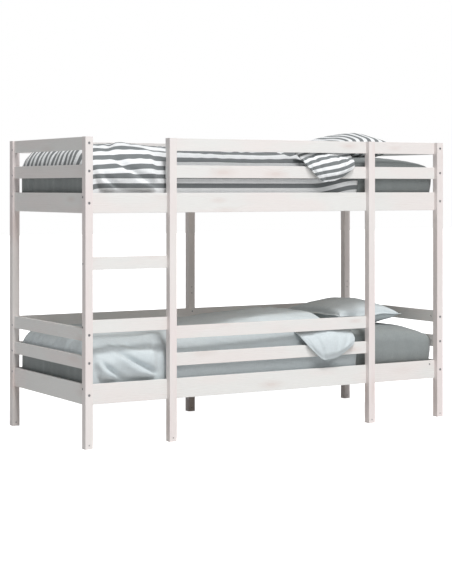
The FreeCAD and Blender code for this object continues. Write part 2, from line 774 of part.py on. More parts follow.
# ---------------------------------------------------------------- bedding
def soft_block(name, x_size, y_size, z_size, radius):
    """A padded block with every edge rounded."""
    body = new_body(name)
    section = new_sketch(body, "section", "XY_Plane")
    rectangle(section, 0, 0, x_size, y_size)
    block = pad(body, section, z_size)
    doc.recompute()
    rounding = body.newObject("PartDesign::Fillet", f"{name}_rounding")
    rounding.Base = (block, [f"Edge{i + 1}" for i in range(len(block.Shape.Edges))])
    rounding.Radius = value(radius)
    rounding.setExpression("Radius", text(radius))
    parts.append(body)
    return body


mattress_rise = cell("ledger_rise") + ledger + cell("slat_thick")
mattress_x, mattress_y = cell("mattress_length") / 2, cell("mattress_width") / 2
gap, drop_thick = cell("soft_gap"), cell("drop_thick")
duvet_left = -mattress_x - gap - drop_thick
duvet_front = -mattress_y - gap - drop_thick
duvet_rear = mattress_y + gap


def duvet(level):
    """A duvet as plain slabs: the top, the three sides that hang, and a corner folded out.

    The folded corner passes between the two front guard rails and hangs in front of the lower one.
    """
    top = LEVELS[level] + mattress_rise + cell("mattress_thick") + gap + cell("duvet_thick")
    fold_drop = cell("front_guard_drop") if level == "lower" else ZERO
    fold_top = LEVELS[level] + cell("top_guard_rise") - fold_drop - cell("flap_clearance")
    fold_left = duvet_left + cell("flap_start")
    fold_front = cell("flap_standoff") - width / 2
    across = drop_thick * 2 + gap * 2 + cell("mattress_width")
    slabs = [
        ("top", duvet_left, duvet_front, top - cell("duvet_thick"),
         cell("duvet_length"), across, cell("duvet_thick")),
        ("strip", duvet_left, duvet_front, top - cell("duvet_thick"),
         cell("duvet_front_length"), cell("duvet_front_strip"), cell("duvet_thick")),
        ("front", duvet_left, duvet_front, top - cell("front_drop"),
         cell("duvet_front_length"), drop_thick, cell("front_drop")),
        ("rear", duvet_left, duvet_rear, top - cell("rear_drop"),
         cell("duvet_length"), drop_thick, cell("rear_drop")),
        ("end", duvet_left, duvet_front, top - cell("end_drop"), drop_thick, across, cell("end_drop")),
        ("fold", fold_left, fold_front, fold_top - cell("flap_thick"),
         cell("flap_length"), duvet_front + drop_thick - fold_front, cell("flap_thick")),
        ("flap", fold_left, fold_front, fold_top - cell("flap_hang"),
         cell("flap_length"), cell("flap_thick"), cell("flap_hang")),
    ]
    boxes = []
    for name, x, y, z, x_size, y_size, z_size in slabs:
        box = doc.addObject("Part::Box", f"duvet_{level}_{name}")
        for side, size in (("Length", x_size), ("Width", y_size), ("Height", z_size)):
            setattr(box, side, value(size))
            box.setExpression(side, text(size))
        place(box, x, y, z)
        boxes.append(box)
    cover = doc.addObject("Part::MultiFuse", f"duvet_{level}")
    cover.Shapes = boxes
    cover.Refine = True
    cover.Label = f"duvet_{level}"
    parts.append(cover)


for level, base in LEVELS.items():
    mattress = soft_block(f"mattress_{level}", cell("mattress_length"), cell("mattress_width"),
                          cell("mattress_thick"), cell("mattress_round"))
    place(mattress, -mattress_x, -mattress_y, base + mattress_rise)
    duvet(level)
    pillow = soft_block(f"pillow_{level}", cell("pillow_length"), cell("pillow_width"),
                        cell("pillow_thick"), cell("pillow_round"))
    place(pillow, length / 2 - cell("pillow_from_end") - cell("pillow_length"),
          -(cell("pillow_width") / 2), base + mattress_rise + cell("mattress_thick") + gap / 2)


# ---------------------------------------------------------------- checks and files
doc.recompute()
for thing in doc.Objects:
    if {"Invalid", "Error"} & set(thing.State):
        raise RuntimeError(f"{thing.Label} did not build: {thing.State}")
labels = [part.Label for part in parts]
if len(set(labels)) != len(labels):
    raise RuntimeError("two sub-parts share a label")
for part in parts:
    shape = part.Shape
    if shape.isNull() or not shape.isValid() or not shape.Solids:
        raise RuntimeError(f"{part.Label} has no valid solid")
    shape.exportStep(f"parts/{part.Label}.step")
print(f"{len(parts)} sub-parts, {sum(len(p.Shape.Solids) for p in parts)} solids")
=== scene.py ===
"""Bunk bed with a ladder bay: timber frame, slats, mattresses, duvets and pillows.

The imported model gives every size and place. This file gives the timber and metal their
finish, and makes the slats and the soft goods. Metres, +Z up, front towards -Y.
"""

import math

import bmesh
import bpy
import numpy as np
from bpy.props import FloatProperty, FloatVectorProperty, IntProperty, PointerProperty
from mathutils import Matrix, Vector


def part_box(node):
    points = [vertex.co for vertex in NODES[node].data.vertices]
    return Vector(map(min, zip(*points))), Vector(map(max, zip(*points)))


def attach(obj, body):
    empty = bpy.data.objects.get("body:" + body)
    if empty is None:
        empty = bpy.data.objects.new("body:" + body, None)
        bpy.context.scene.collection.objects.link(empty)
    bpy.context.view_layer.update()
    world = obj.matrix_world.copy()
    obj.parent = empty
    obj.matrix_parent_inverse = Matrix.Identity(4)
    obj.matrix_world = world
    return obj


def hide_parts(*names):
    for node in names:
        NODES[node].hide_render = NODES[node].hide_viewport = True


bl_info = {
    "name": "Bunk bed",
    "version": (1, 0, 0),
    "blender": (4, 5, 0),
    "location": "3D View > Sidebar > Bunk bed",
    "description": "Makes the pieces and finishes of a dressed bunk bed",
    "category": "Object",
}

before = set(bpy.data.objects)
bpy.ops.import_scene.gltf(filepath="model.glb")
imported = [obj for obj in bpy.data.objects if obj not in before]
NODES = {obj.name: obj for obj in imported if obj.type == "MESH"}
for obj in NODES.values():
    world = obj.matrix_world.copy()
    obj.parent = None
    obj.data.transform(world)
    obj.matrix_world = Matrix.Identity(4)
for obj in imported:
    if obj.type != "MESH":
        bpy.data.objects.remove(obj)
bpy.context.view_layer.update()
LEVELS = ("lower", "upper")
FIXED_BODY = "bed"


# ---------------------------------------------------------------- settings
def tint(name, description, colour):
    return FloatVectorProperty(name=name, description=description, default=colour,
                               subtype="COLOR", size=3, min=0.0, max=1.0)


def length(name, description, metres):
    return FloatProperty(name=name, description=description, default=metres,
                         min=0.0, subtype="DISTANCE", unit="LENGTH")


def share(name, description, default, top=1.0):
    return FloatProperty(name=name, description=description, default=default, min=0.0, max=top)


class TimberSettings(bpy.types.PropertyGroup):
    wash: tint("Wash", "White wash over the pine", (0.81, 0.765, 0.745))
    cool_wash: tint("Cool wash", "Wash where it is thicker", (0.79, 0.785, 0.765))
    post_wash: tint("Post wash", "Wash on the posts", (0.81, 0.735, 0.72))
    grain: tint("Grain", "Summer wood showing through the wash", (0.66, 0.59, 0.55))
    knot: tint("Knot", "Knots showing through the wash", (0.60, 0.44, 0.39))
    bare: tint("Bare pine", "Unwashed pine of slats and ledgers", (0.68, 0.50, 0.31))
    ring_pitch: length("Ring pitch", "Distance between growth rings", 0.0075)
    knot_spacing: length("Knot spacing", "Distance between knots along a board", 0.36)


class HardwareSettings(bpy.types.PropertyGroup):
    zinc: tint("Zinc", "Plated bolts and screws", (0.30, 0.30, 0.31))
    scratch: share("Scratches", "Roughness change of the plating", 0.25)


class BeddingSettings(bpy.types.PropertyGroup):
    white: tint("White stripe", "White of the striped cotton", (0.86, 0.875, 0.885))
    grey: tint("Grey stripe", "Grey of the striped cotton", (0.185, 0.20, 0.205))
    plain: tint("Plain cotton", "Cover of the lower duvet and pillow", (0.60, 0.655, 0.675))
    sheet: tint("Sheet", "Fitted sheet on both mattresses", (0.26, 0.285, 0.285))
    stripe_pitch: length("Stripe pitch", "One grey and one white stripe", 0.047)
    thread: length("Thread", "Pitch of the woven threads", 0.0011)
    stripe_shift: length("Stripe shift", "Where the first stripe starts, across the bed", 0.011)
    puff: length("Puff", "Height of the duvet's filling", 0.034)


class SlatSettings(bpy.types.PropertyGroup):
    count: IntProperty(name="Count", description="Slats in each bed", default=14, min=2)
    width: length("Width", "Width of a slat", 0.068)
    rounding: length("Rounding", "Radius of the slats' long edges", 0.002)


class StitchSettings(bpy.types.PropertyGroup):
    pitch: length("Pitch", "Distance between stitches", 0.0045)
    stitch: length("Stitch", "Length of one stitch", 0.0032)
    thread: length("Thread", "Radius of the thread", 0.0005)


class StageSettings(bpy.types.PropertyGroup):
    floor: tint("Floor", "Pale floor", (0.70, 0.70, 0.70))
    key: share("Key light", "Strength of the light from above and in front", 1.85, 20.0)
    fill: share("Front light", "Power of the broad light in front", 225.0, 5000.0)
    ambient: share("Ambient", "Strength of the light from all round", 0.29, 5.0)


# ---------------------------------------------------------------- node helpers
def add_node(tree, kind, feeds=None, **settings):
    """A new node. feeds maps an input to a value or to another node's output."""
    made = tree.nodes.new(kind)
    for key, setting in settings.items():
        setattr(made, key, setting)
    for key, feed in (feeds or {}).items():
        socket = made.inputs[key]
        if isinstance(feed, bpy.types.NodeSocket):
            tree.links.new(feed, socket)
        else:
            socket.default_value = feed
    return made


def maths(tree, operation, *feeds, clamp=False):
    return add_node(tree, "ShaderNodeMath", dict(enumerate(feeds)),
                    operation=operation, use_clamp=clamp).outputs[0]


def vectors(tree, operation, *feeds):
    made = add_node(tree, "ShaderNodeVectorMath", dict(enumerate(feeds)), operation=operation)
    return made.outputs["Value" if operation == "LENGTH" else "Vector"]


def ramp(tree, feed, low, high, to_low=0.0, to_high=1.0, shape="SMOOTHSTEP"):
    """Goes from to_low to to_high as the feed goes from low to high."""
    feeds = {"Value": feed, "From Min": low, "From Max": high, "To Min": to_low, "To Max": to_high}
    return add_node(tree, "ShaderNodeMapRange", feeds, interpolation_type=shape).outputs["Result"]


def noise(tree, vector, scale, detail=2.0, rough=0.5):
    feeds = {"Vector": vector, "Scale": scale, "Detail": detail, "Roughness": rough}
    return add_node(tree, "ShaderNodeTexNoise", feeds).outputs["Fac"]


def blend_colours(tree, factor, first, second, mode="MIX"):
    made = add_node(tree, "ShaderNodeMix", data_type="RGBA", blend_type=mode)
    for number, feed in ((0, factor), (6, first), (7, second)):
        socket = made.inputs[number]
        if isinstance(feed, bpy.types.NodeSocket):
            tree.links.new(feed, socket)
        else:
            socket.default_value = feed if number == 0 else (*feed, 1.0)
    return made.outputs[2]


def shade(tree, colour, brightness):
    """A colour made lighter or darker by a brightness near 1."""
    grey = add_node(tree, "ShaderNodeCombineColor", dict.fromkeys(range(3), brightness))
    return blend_colours(tree, 1.0, colour, grey.outputs[0], "MULTIPLY")


def emboss(tree, shader, height, strength, distance):
    feeds = {"Height": height, "Strength": strength, "Distance": distance}
    bump = add_node(tree, "ShaderNodeBump", feeds)
    tree.links.new(bump.outputs[0], shader.inputs["Normal"])


def new_tree(name, kind, inputs, outputs):
    """An empty node group: (tree, its inputs, its output node)."""
    tree = bpy.data.node_groups.new(name, kind)
    for label, socket_kind, *default in inputs:
        socket = tree.interface.new_socket(label, in_out="INPUT", socket_type=socket_kind)
        if default:
            socket.default_value = default[0]
    for label, socket_kind in outputs:
        tree.interface.new_socket(label, in_out="OUTPUT", socket_type=socket_kind)
    entry = tree.nodes.new("NodeGroupInput")
    leave = tree.nodes.new("NodeGroupOutput")
    return tree, entry.outputs, leave


def deliver(tree, leave, **results):
    for label, result in results.items():
        tree.links.new(result, leave.inputs[label])


def use_group(tree, group, feeds):
    return add_node(tree, "ShaderNodeGroup", feeds, node_tree=group).outputs


def new_material(name):
    """A material with its Principled BSDF: (material, tree, shader)."""
    material = bpy.data.materials.new(name)
    material.use_nodes = True
    return material, material.node_tree, material.node_tree.nodes["Principled BSDF"]


def set_colour(material, colour):
    material.diffuse_color = (*colour, 1.0)


# ---------------------------------------------------------------- shader groups
def planed_grain_group():
    """Growth rings, knots and wash patches of a planed board; X of the vector runs along it."""
    if "PlanedGrain" in bpy.data.node_groups:
        return bpy.data.node_groups["PlanedGrain"]
    tree, given, leave = new_tree(
        "PlanedGrain", "ShaderNodeTree",
        [("Vector", "NodeSocketVector"), ("Ring pitch", "NodeSocketFloat", 0.0075),
         ("Knot spacing", "NodeSocketFloat", 0.36)],
        [("Rings", "NodeSocketFloat"), ("Knot", "NodeSocketFloat"), ("Halo", "NodeSocketFloat"),
         ("Patches", "NodeSocketFloat"), ("Fibre", "NodeSocketFloat")])
    place = given["Vector"]
    spacing = given["Knot spacing"]
    cell = add_node(tree, "ShaderNodeCombineXYZ",
                    {0: spacing, 1: maths(tree, "MULTIPLY", spacing, 0.24),
                     2: maths(tree, "MULTIPLY", spacing, 0.24)}).outputs[0]
    scaled = vectors(tree, "DIVIDE", place, cell)
    knots = add_node(tree, "ShaderNodeTexVoronoi", {"Vector": scaled, "Scale": 1.0})
    away = vectors(tree, "MULTIPLY", vectors(tree, "SUBTRACT", scaled, knots.outputs["Position"]),
                   cell)
    ragged = vectors(tree, "MULTIPLY", away, (0.30, 1.0, 0.6))
    distance = maths(tree, "ADD", vectors(tree, "LENGTH", ragged),
                     maths(tree, "MULTIPLY", noise(tree, place, 160.0), 0.004))
    pick = add_node(tree, "ShaderNodeSeparateColor", {0: knots.outputs["Color"]})
    present = ramp(tree, pick.outputs[0], 0.42, 0.5)
    size = maths(tree, "MULTIPLY_ADD", pick.outputs[1], 0.006, 0.0055)
    core = ramp(tree, distance, maths(tree, "MULTIPLY", size, 1.35), size)
    around = ramp(tree, distance, maths(tree, "MULTIPLY", size, 3.6), size)
    swerve = ramp(tree, distance, 0.045, 0.006)

    stretched = vectors(tree, "MULTIPLY", place, (2.4, 22.0, 22.0))
    wander = noise(tree, stretched, 1.0, 3.0)
    across = add_node(tree, "ShaderNodeSeparateXYZ", {0: place})
    phase = maths(tree, "DIVIDE", maths(tree, "MULTIPLY_ADD", wander, 0.045, across.outputs[1]),
                  given["Ring pitch"])
    phase = maths(tree, "ADD", phase, maths(tree, "MULTIPLY", swerve,
                                            maths(tree, "MULTIPLY", present, 2.2)))
    wave = maths(tree, "FRACT", phase)
    late = maths(tree, "MULTIPLY", ramp(tree, wave, 0.35, 0.9), ramp(tree, wave, 1.0, 0.93))
    strength = ramp(tree, noise(tree, vectors(tree, "MULTIPLY", place, (1.1, 9.0, 9.0)), 1.0),
                    0.34, 0.66, 0.15, 1.0)
    fibre = noise(tree, vectors(tree, "MULTIPLY", place, (26.0, 900.0, 900.0)), 1.0, 3.0, 0.65)
    patches = ramp(tree, noise(tree, vectors(tree, "MULTIPLY", place, (2.2, 7.0, 7.0)), 1.0, 3.0),
                   0.36, 0.62)
    deliver(tree, leave, Rings=maths(tree, "MULTIPLY", late, strength),
            Knot=maths(tree, "MULTIPLY", core, present),
            Halo=maths(tree, "MULTIPLY", around, present),
            Patches=patches, Fibre=fibre)
    return tree


def woven_group():
    """Height and tone of a plain weave on a flat map in metres, with uneven threads."""
    if "WovenCloth" in bpy.data.node_groups:
        return bpy.data.node_groups["WovenCloth"]
    tree, given, leave = new_tree(
        "WovenCloth", "ShaderNodeTree",
        [("Vector", "NodeSocketVector"), ("Thread", "NodeSocketFloat", 0.0011)],
        [("Height", "NodeSocketFloat"), ("Tone", "NodeSocketFloat"), ("Crumple", "NodeSocketFloat")])
    place = given["Vector"]
    turn = maths(tree, "DIVIDE", math.pi, given["Thread"])
    split = add_node(tree, "ShaderNodeSeparateXYZ", {0: place})
    warp = maths(tree, "SINE", maths(tree, "MULTIPLY", split.outputs[0], turn))
    weft = maths(tree, "SINE", maths(tree, "MULTIPLY", split.outputs[1], turn))
    weave = maths(tree, "ABSOLUTE", maths(tree, "MULTIPLY", warp, weft))
    slub_x = noise(tree, vectors(tree, "MULTIPLY", place, (30.0, 700.0, 30.0)), 1.0, 2.0)
    slub_y = noise(tree, vectors(tree, "MULTIPLY", place, (700.0, 30.0, 30.0)), 1.0, 2.0)
    slub = maths(tree, "MULTIPLY", maths(tree, "ADD", slub_x, slub_y), 0.5)
    crumple = noise(tree, vectors(tree, "MULTIPLY", place, (26.0, 34.0, 26.0)), 1.0, 4.0, 0.6)
    deliver(tree, leave, Height=maths(tree, "MULTIPLY_ADD", weave, 0.5, slub),
            Tone=slub, Crumple=crumple)
    return tree


# ---------------------------------------------------------------- materials
def board_vector(tree, along):
    """Object coordinates turned so that X runs along the board and Y across its face.

    The side of the bed that a board is on shifts it along, so no two boards share a pattern.
    """
    place = add_node(tree, "ShaderNodeSeparateXYZ",
                     {0: add_node(tree, "ShaderNodeTexCoord").outputs["Object"]}).outputs
    x, y, z = place
    if along == "Z":
        lean = maths(tree, "MULTIPLY", maths(tree, "SUBTRACT", x, y), 0.35)
        feeds = {0: z, 1: maths(tree, "ADD", x, y), 2: lean}
    else:
        run, thick = (x, y) if along == "X" else (y, x)
        shift = maths(tree, "MULTIPLY", maths(tree, "SIGN", thick), 3.37)
        feeds = {0: maths(tree, "ADD", run, shift), 1: z, 2: maths(tree, "MULTIPLY", thick, 0.3)}
    return add_node(tree, "ShaderNodeCombineXYZ", feeds).outputs[0]


def timber(settings, along, washed=True):
    material, tree, shader = new_material(f"{'washed' if washed else 'bare'}_pine_{along.lower()}")
    grain = use_group(tree, planed_grain_group(), {
        "Vector": board_vector(tree, along), "Ring pitch": settings.ring_pitch,
        "Knot spacing": settings.knot_spacing})
    if washed:
        warm = settings.post_wash if along == "Z" else settings.wash
        cool = settings.wash if along == "Z" else settings.cool_wash
        ground = blend_colours(tree, grain["Patches"], warm, cool)
        ring_share, knot_share, halo_share = 0.20, 0.13, 0.20
        ring_colour = settings.grain
    else:
        ground = blend_colours(tree, grain["Patches"], settings.bare,
                               [c * 1.12 for c in settings.bare])
        ring_share, knot_share, halo_share = 0.55, 0.85, 0.35
        ring_colour = [c * s for c, s in zip(settings.bare, (0.78, 0.62, 0.5))]
    ringed = blend_colours(tree, maths(tree, "MULTIPLY", grain["Rings"], ring_share),
                           ground, ring_colour)
    haloed = blend_colours(tree, maths(tree, "MULTIPLY", grain["Halo"], halo_share),
                           ringed, settings.knot)
    knotted = blend_colours(tree, maths(tree, "MULTIPLY", grain["Knot"], knot_share),
                            haloed, settings.knot)
    streak = ramp(tree, grain["Fibre"], 0.3, 0.7, 0.965, 1.02)
    tree.links.new(shade(tree, knotted, streak), shader.inputs["Base Color"])
    tree.links.new(ramp(tree, grain["Fibre"], 0.25, 0.75, 0.44, 0.60), shader.inputs["Roughness"])
    relief = maths(tree, "MULTIPLY_ADD", grain["Rings"], 0.7, grain["Fibre"])
    relief = maths(tree, "MULTIPLY_ADD", grain["Knot"], -0.6, relief)
    emboss(tree, shader, relief, strength=0.30, distance=0.0006)
    shader.inputs["Coat Weight"].default_value = 0.08 if washed else 0.0
    shader.inputs["Coat Roughness"].default_value = 0.35
    set_colour(material, settings.wash if washed else settings.bare)
    return material


def plated_steel(settings):
    material, tree, shader = new_material("zinc_plate")
    place = add_node(tree, "ShaderNodeTexCoord").outputs["Object"]
    speckle = noise(tree, place, 900.0, 3.0, 0.7)
    cloud = noise(tree, place, 90.0, 2.0)
    colour = blend_colours(tree, cloud, settings.zinc, [c * 1.35 for c in settings.zinc])
    tree.links.new(colour, shader.inputs["Base Color"])
    rough = ramp(tree, speckle, 0.3, 0.7, 0.34, 0.34 + settings.scratch)
    tree.links.new(rough, shader.inputs["Roughness"])
    shader.inputs["Metallic"].default_value = 1.0
    emboss(tree, shader, speckle, strength=0.15, distance=0.0002)
    set_colour(material, settings.zinc)
    return material


def cloth(name, settings, colour, stripes=None, brushed=False, pitch=None, counted_along=1):
    """Woven cotton on a piece's flat map. stripes is the second colour of even stripes.

    pitch is the width of a pair of stripes. counted_along is the side of the flat map that
    crosses them, 0 or 1.
    """
    material, tree, shader = new_material(name)
    flat = add_node(tree, "ShaderNodeUVMap", uv_map="flat").outputs[0]
    weave = use_group(tree, woven_group(), {"Vector": flat, "Thread": settings.thread})
    base = blend_colours(tree, 0.0, colour, colour)
    if stripes:
        across = add_node(tree, "ShaderNodeSeparateXYZ", {0: flat}).outputs[counted_along]
        pair = pitch or settings.stripe_pitch
        wave = maths(tree, "FRACT", maths(tree, "DIVIDE", across, pair))
        blur = 0.018                                   # share of a pair, each side of an edge
        rise = ramp(tree, wave, 0.25 - blur, 0.25 + blur)
        fall = ramp(tree, wave, 0.75 - blur, 0.75 + blur, 1.0, 0.0)
        base = blend_colours(tree, maths(tree, "MULTIPLY", rise, fall), colour, stripes)
    tone = ramp(tree, weave["Tone"], 0.3, 0.7, 0.93, 1.06)
    # painted light and shade: the cloth's colour is lighter on the crumples' crests and darker in
    # their hollows, following the same crumple noise as the bump below
    soft = ramp(tree, weave["Crumple"], 0.3, 0.7, 0.975, 1.02)
    shaded = shade(tree, base, maths(tree, "MULTIPLY", tone, soft))
    tree.links.new(shaded, shader.inputs["Base Color"])
    tree.links.new(ramp(tree, weave["Tone"], 0.2, 0.8, 0.78, 0.92), shader.inputs["Roughness"])
    crumpled = 2.6 if brushed else 1.6                 # height of crumples against threads
    height = maths(tree, "MULTIPLY_ADD", weave["Crumple"], crumpled, weave["Height"])
    emboss(tree, shader, height, strength=0.45, distance=0.0009)
    shader.inputs["Sheen Weight"].default_value = 0.35 if brushed else 0.18
    shader.inputs["Sheen Roughness"].default_value = 0.5
    shader.inputs["Specular IOR Level"].default_value = 0.3
    set_colour(material, colour)
    return material


def cottons(settings, use="", **pattern):
    """For each level: the material, the slot and the colour of its duvet and pillow covers."""
    striped = cloth(f"striped_cotton{use}", settings, settings.white, settings.grey, **pattern)
    plain = cloth(f"plain_cotton{use}", settings, settings.plain)
    return {"lower": (plain, "plain_cotton", settings.plain),
            "upper": (striped, "striped_cotton", settings.white)}


def thread_material(name, cover_colour):
    """Sewing thread a little darker than the cover it is in."""
    material, tree, shader = new_material(name)
    colour = [c * 0.9 for c in cover_colour]
    place = add_node(tree, "ShaderNodeTexCoord").outputs["Object"]
    twist = noise(tree, place, 1400.0, 1.0)
    tree.links.new(blend_colours(tree, twist, [c * 0.82 for c in colour], colour),
                   shader.inputs["Base Color"])
    tree.links.new(ramp(tree, twist, 0.3, 0.7, 0.55, 0.75), shader.inputs["Roughness"])
    shader.inputs["Sheen Weight"].default_value = 0.3
    set_colour(material, colour)
    return material


# ---------------------------------------------------------------- mesh helpers
def new_piece(name, points, faces, flat=None, smooth=True):
    """A mesh object at the origin. flat holds one map point per vertex, in metres."""
    mesh = bpy.data.meshes.new(name)
    mesh.from_pydata([tuple(map(float, p)) for p in points], [], faces)
    if flat is not None:
        layer = mesh.uv_layers.new(name="flat")
        corners = np.empty(len(mesh.loops), dtype=np.int32)
        mesh.loops.foreach_get("vertex_index", corners)
        layer.data.foreach_set("uv", np.asarray(flat, dtype=np.float32)[corners].ravel())
    mesh.polygons.foreach_set("use_smooth", [smooth] * len(mesh.polygons))
    mesh.validate()
    mesh.update()
    piece = bpy.data.objects.new(name, mesh)
    bpy.context.collection.objects.link(piece)
    return piece


def read_points(piece):
    points = np.empty(len(piece.data.vertices) * 3)
    piece.data.vertices.foreach_get("co", points)
    return points.reshape(-1, 3)


def write_points(piece, points):
    piece.data.vertices.foreach_set("co", np.asarray(points, dtype=np.float32).ravel())
    piece.data.update()


def dress(piece, material, body=FIXED_BODY, stands_for=()):
    piece.data.materials.clear()
    piece.data.materials.append(material)
    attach(piece, body)
    if stands_for:
        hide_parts(*stands_for)


def ripples(points, seed, count, low, high):
    """Smooth random waves of unit height over 2-D or 3-D points; low and high are wavelengths."""
    draw = np.random.default_rng(seed)
    total = np.zeros(len(points))
    for _ in range(count):
        way = draw.normal(size=points.shape[1])
        way /= np.linalg.norm(way)
        wavelength = draw.uniform(low, high)
        start = draw.uniform(0, 2 * math.pi)
        bend = 0.6 * np.sin(points @ np.roll(way, 1) * 2 * math.pi / (2.3 * wavelength) + start)
        total += np.sin(points @ way * 2 * math.pi / wavelength + start + bend)
    return total / math.sqrt(count)


def fold(flat, start, end, width, height, sharp=1.0):
    """A fold from start to end on the flat cloth: a gentle slope, a ridge, then a valley."""
    start, end = np.array(start), np.array(end)
    run = np.linalg.norm(end - start)
    way = (end - start) / run
    along = (flat - start) @ way / run
    across = (flat - start) @ np.array([-way[1], way[0]])
    across = across + 0.25 * width * np.sin(along * 5.0)
    fade = np.clip(np.minimum(along + 0.08, 1.08 - along) / 0.3, 0.0, 1.0)
    fade = fade * fade * (3 - 2 * fade)
    slope = width * np.where(across < 0, 1.9, 0.55)
    ridge = np.exp(-(np.abs(across) / slope) ** (2.0 / sharp))
    valley = np.exp(-((across - 1.2 * width) / (0.7 * width)) ** 2)
    return height * fade * (ridge - 0.9 * valley)


def inflate(piece, frames, pressure, cap, stiffness):
    """Swell a closed mesh by cloth simulation, cap how far each point moves, and apply it."""
    before = read_points(piece)
    cloth_modifier = piece.modifiers.new("swell", "CLOTH")
    fabric = cloth_modifier.settings
    fabric.quality = 6
    fabric.mass = 0.25
    fabric.tension_stiffness = stiffness
    fabric.compression_stiffness = stiffness
    fabric.shear_stiffness = stiffness * 0.6
    fabric.bending_stiffness = 0.4
    fabric.use_pressure = True
    fabric.uniform_pressure_force = pressure
    fabric.effector_weights.gravity = 0.0
    cloth_modifier.collision_settings.use_collision = False
    cloth_modifier.point_cache.frame_start = 1
    cloth_modifier.point_cache.frame_end = frames
    scene = bpy.context.scene
    for number in range(1, frames + 1):
        scene.frame_set(number)
    shaped = piece.evaluated_get(bpy.context.evaluated_depsgraph_get()).data
    after = np.empty(len(before) * 3)
    shaped.vertices.foreach_get("co", after)
    after = after.reshape(-1, 3)
    piece.modifiers.remove(cloth_modifier)
    scene.frame_set(1)
    move = after - before
    if not np.isfinite(move).all():
        raise RuntimeError(f"{piece.name}: the cloth simulation failed")
    far = np.linalg.norm(move, axis=1)
    move *= np.minimum(1.0, cap / np.maximum(far, 1e-9))[:, None]
    write_points(piece, before + move)


def rim_order(rows, columns):
    """Numbers of a grid's rim points, in order round it."""
    rim = list(range(columns))
    rim += [i * columns + columns - 1 for i in range(1, rows)]
    rim += [(rows - 1) * columns + j for j in range(columns - 2, -1, -1)]
    rim += [i * columns for i in range(rows - 2, 0, -1)]
    return rim


def shell(name, outer, inner, flat, rows, columns):
    """A closed shell from two grids that meet round their rims; flat maps both alike."""
    faces = []
    count = rows * columns
    for i in range(rows - 1):
        for j in range(columns - 1):
            a = i * columns + j
            quad = (a, a + columns, a + columns + 1, a + 1)
            faces.append(quad)
            faces.append(tuple(count + corner for corner in reversed(quad)))
    rim = rim_order(rows, columns)
    for a, b in zip(rim, rim[1:] + rim[:1]):
        faces.append((a, b, count + b, count + a))
    return new_piece(name, np.vstack([outer, inner]), faces, np.vstack([flat, flat]))


def grid_normals(points, rows, columns):
    """Unit normals of a grid of points: its way down the rows crossed with its way along them."""
    grid = points.reshape(rows, columns, 3)
    down, right = np.gradient(grid, axis=0), np.gradient(grid, axis=1)
    normals = np.cross(down, right).reshape(-1, 3)
    return normals / np.maximum(np.linalg.norm(normals, axis=1), 1e-12)[:, None]


def smooth_step(x, low, high):
    t = np.clip((x - low) / (high - low), 0.0, 1.0)
    return t * t * (3 - 2 * t)


# ---------------------------------------------------------------- geometry nodes
SHAPE = [("Geometry", "NodeSocketGeometry")]


def finish_tree(tree, leave, copies, finish):
    """End a geometry tree: make its copies real and give them their material."""
    real = add_node(tree, "GeometryNodeRealizeInstances", {0: copies.outputs[0]})
    done = add_node(tree, "GeometryNodeSetMaterial",
                    {"Geometry": real.outputs[0], "Material": finish})
    tree.links.new(done.outputs[0], leave.inputs[0])
    return tree


def run_geometry(piece, tree, values):
    """Run a tree on the piece's mesh and keep the result as its plain mesh."""
    modifier = piece.modifiers.new(tree.name, "NODES")
    modifier.node_group = tree
    for socket in tree.interface.items_tree:
        if socket.in_out == "INPUT" and socket.name in values:
            modifier[socket.identifier] = values[socket.name]
    piece.update_tag()
    bpy.context.view_layer.update()
    mesh = bpy.data.meshes.new_from_object(
        piece.evaluated_get(bpy.context.evaluated_depsgraph_get()))
    piece.modifiers.clear()
    piece.data = mesh


def repeat_tree():
    """Copies of the piece's own mesh in a row along X."""
    if "RepeatAlongX" in bpy.data.node_groups:
        return bpy.data.node_groups["RepeatAlongX"]
    tree, given, leave = new_tree("RepeatAlongX", "GeometryNodeTree", [
        *SHAPE, ("Count", "NodeSocketInt"), ("Pitch", "NodeSocketFloat"),
        ("Finish", "NodeSocketMaterial")], SHAPE)
    step = add_node(tree, "ShaderNodeCombineXYZ", {0: given["Pitch"]}).outputs[0]
    row = add_node(tree, "GeometryNodeMeshLine", {"Count": given["Count"], "Offset": step})
    copies = add_node(tree, "GeometryNodeInstanceOnPoints",
                      {"Points": row.outputs[0], "Instance": given["Geometry"]})
    return finish_tree(tree, leave, copies, given["Finish"])


def stitch_tree():
    """Short thread stitches along the piece's own line."""
    if "StitchesAlongLine" in bpy.data.node_groups:
        return bpy.data.node_groups["StitchesAlongLine"]
    tree, given, leave = new_tree("StitchesAlongLine", "GeometryNodeTree", [
        *SHAPE, ("Pitch", "NodeSocketFloat"), ("Stitch", "NodeSocketFloat"),
        ("Thread", "NodeSocketFloat"), ("Finish", "NodeSocketMaterial")], SHAPE)
    line = add_node(tree, "GeometryNodeMeshToCurve", {0: given["Geometry"]})
    places = add_node(tree, "GeometryNodeCurveToPoints",
                      {"Curve": line.outputs[0], "Length": given["Pitch"]}, mode="LENGTH")
    thread = add_node(tree, "GeometryNodeMeshCylinder", {
        "Vertices": 6, "Side Segments": 3, "Radius": given["Thread"], "Depth": given["Stitch"]})
    spot = add_node(tree, "GeometryNodeInputPosition").outputs[0]
    height = add_node(tree, "ShaderNodeSeparateXYZ", {0: spot}).outputs[2]
    reach = maths(tree, "DIVIDE", maths(tree, "ABSOLUTE", height), given["Stitch"])
    slim = ramp(tree, reach, 0.16, 0.5, 1.0, 0.35, shape="LINEAR")
    thinner = add_node(tree, "ShaderNodeCombineXYZ", {0: slim, 1: slim, 2: 1.0}).outputs[0]
    tapered = add_node(tree, "GeometryNodeSetPosition", {
        "Geometry": thread.outputs[0], "Position": vectors(tree, "MULTIPLY", spot, thinner)})
    copies = add_node(tree, "GeometryNodeInstanceOnPoints", {
        "Points": places.outputs["Points"], "Instance": tapered.outputs[0],
        "Rotation": places.outputs["Rotation"]})
    return finish_tree(tree, leave, copies, given["Finish"])


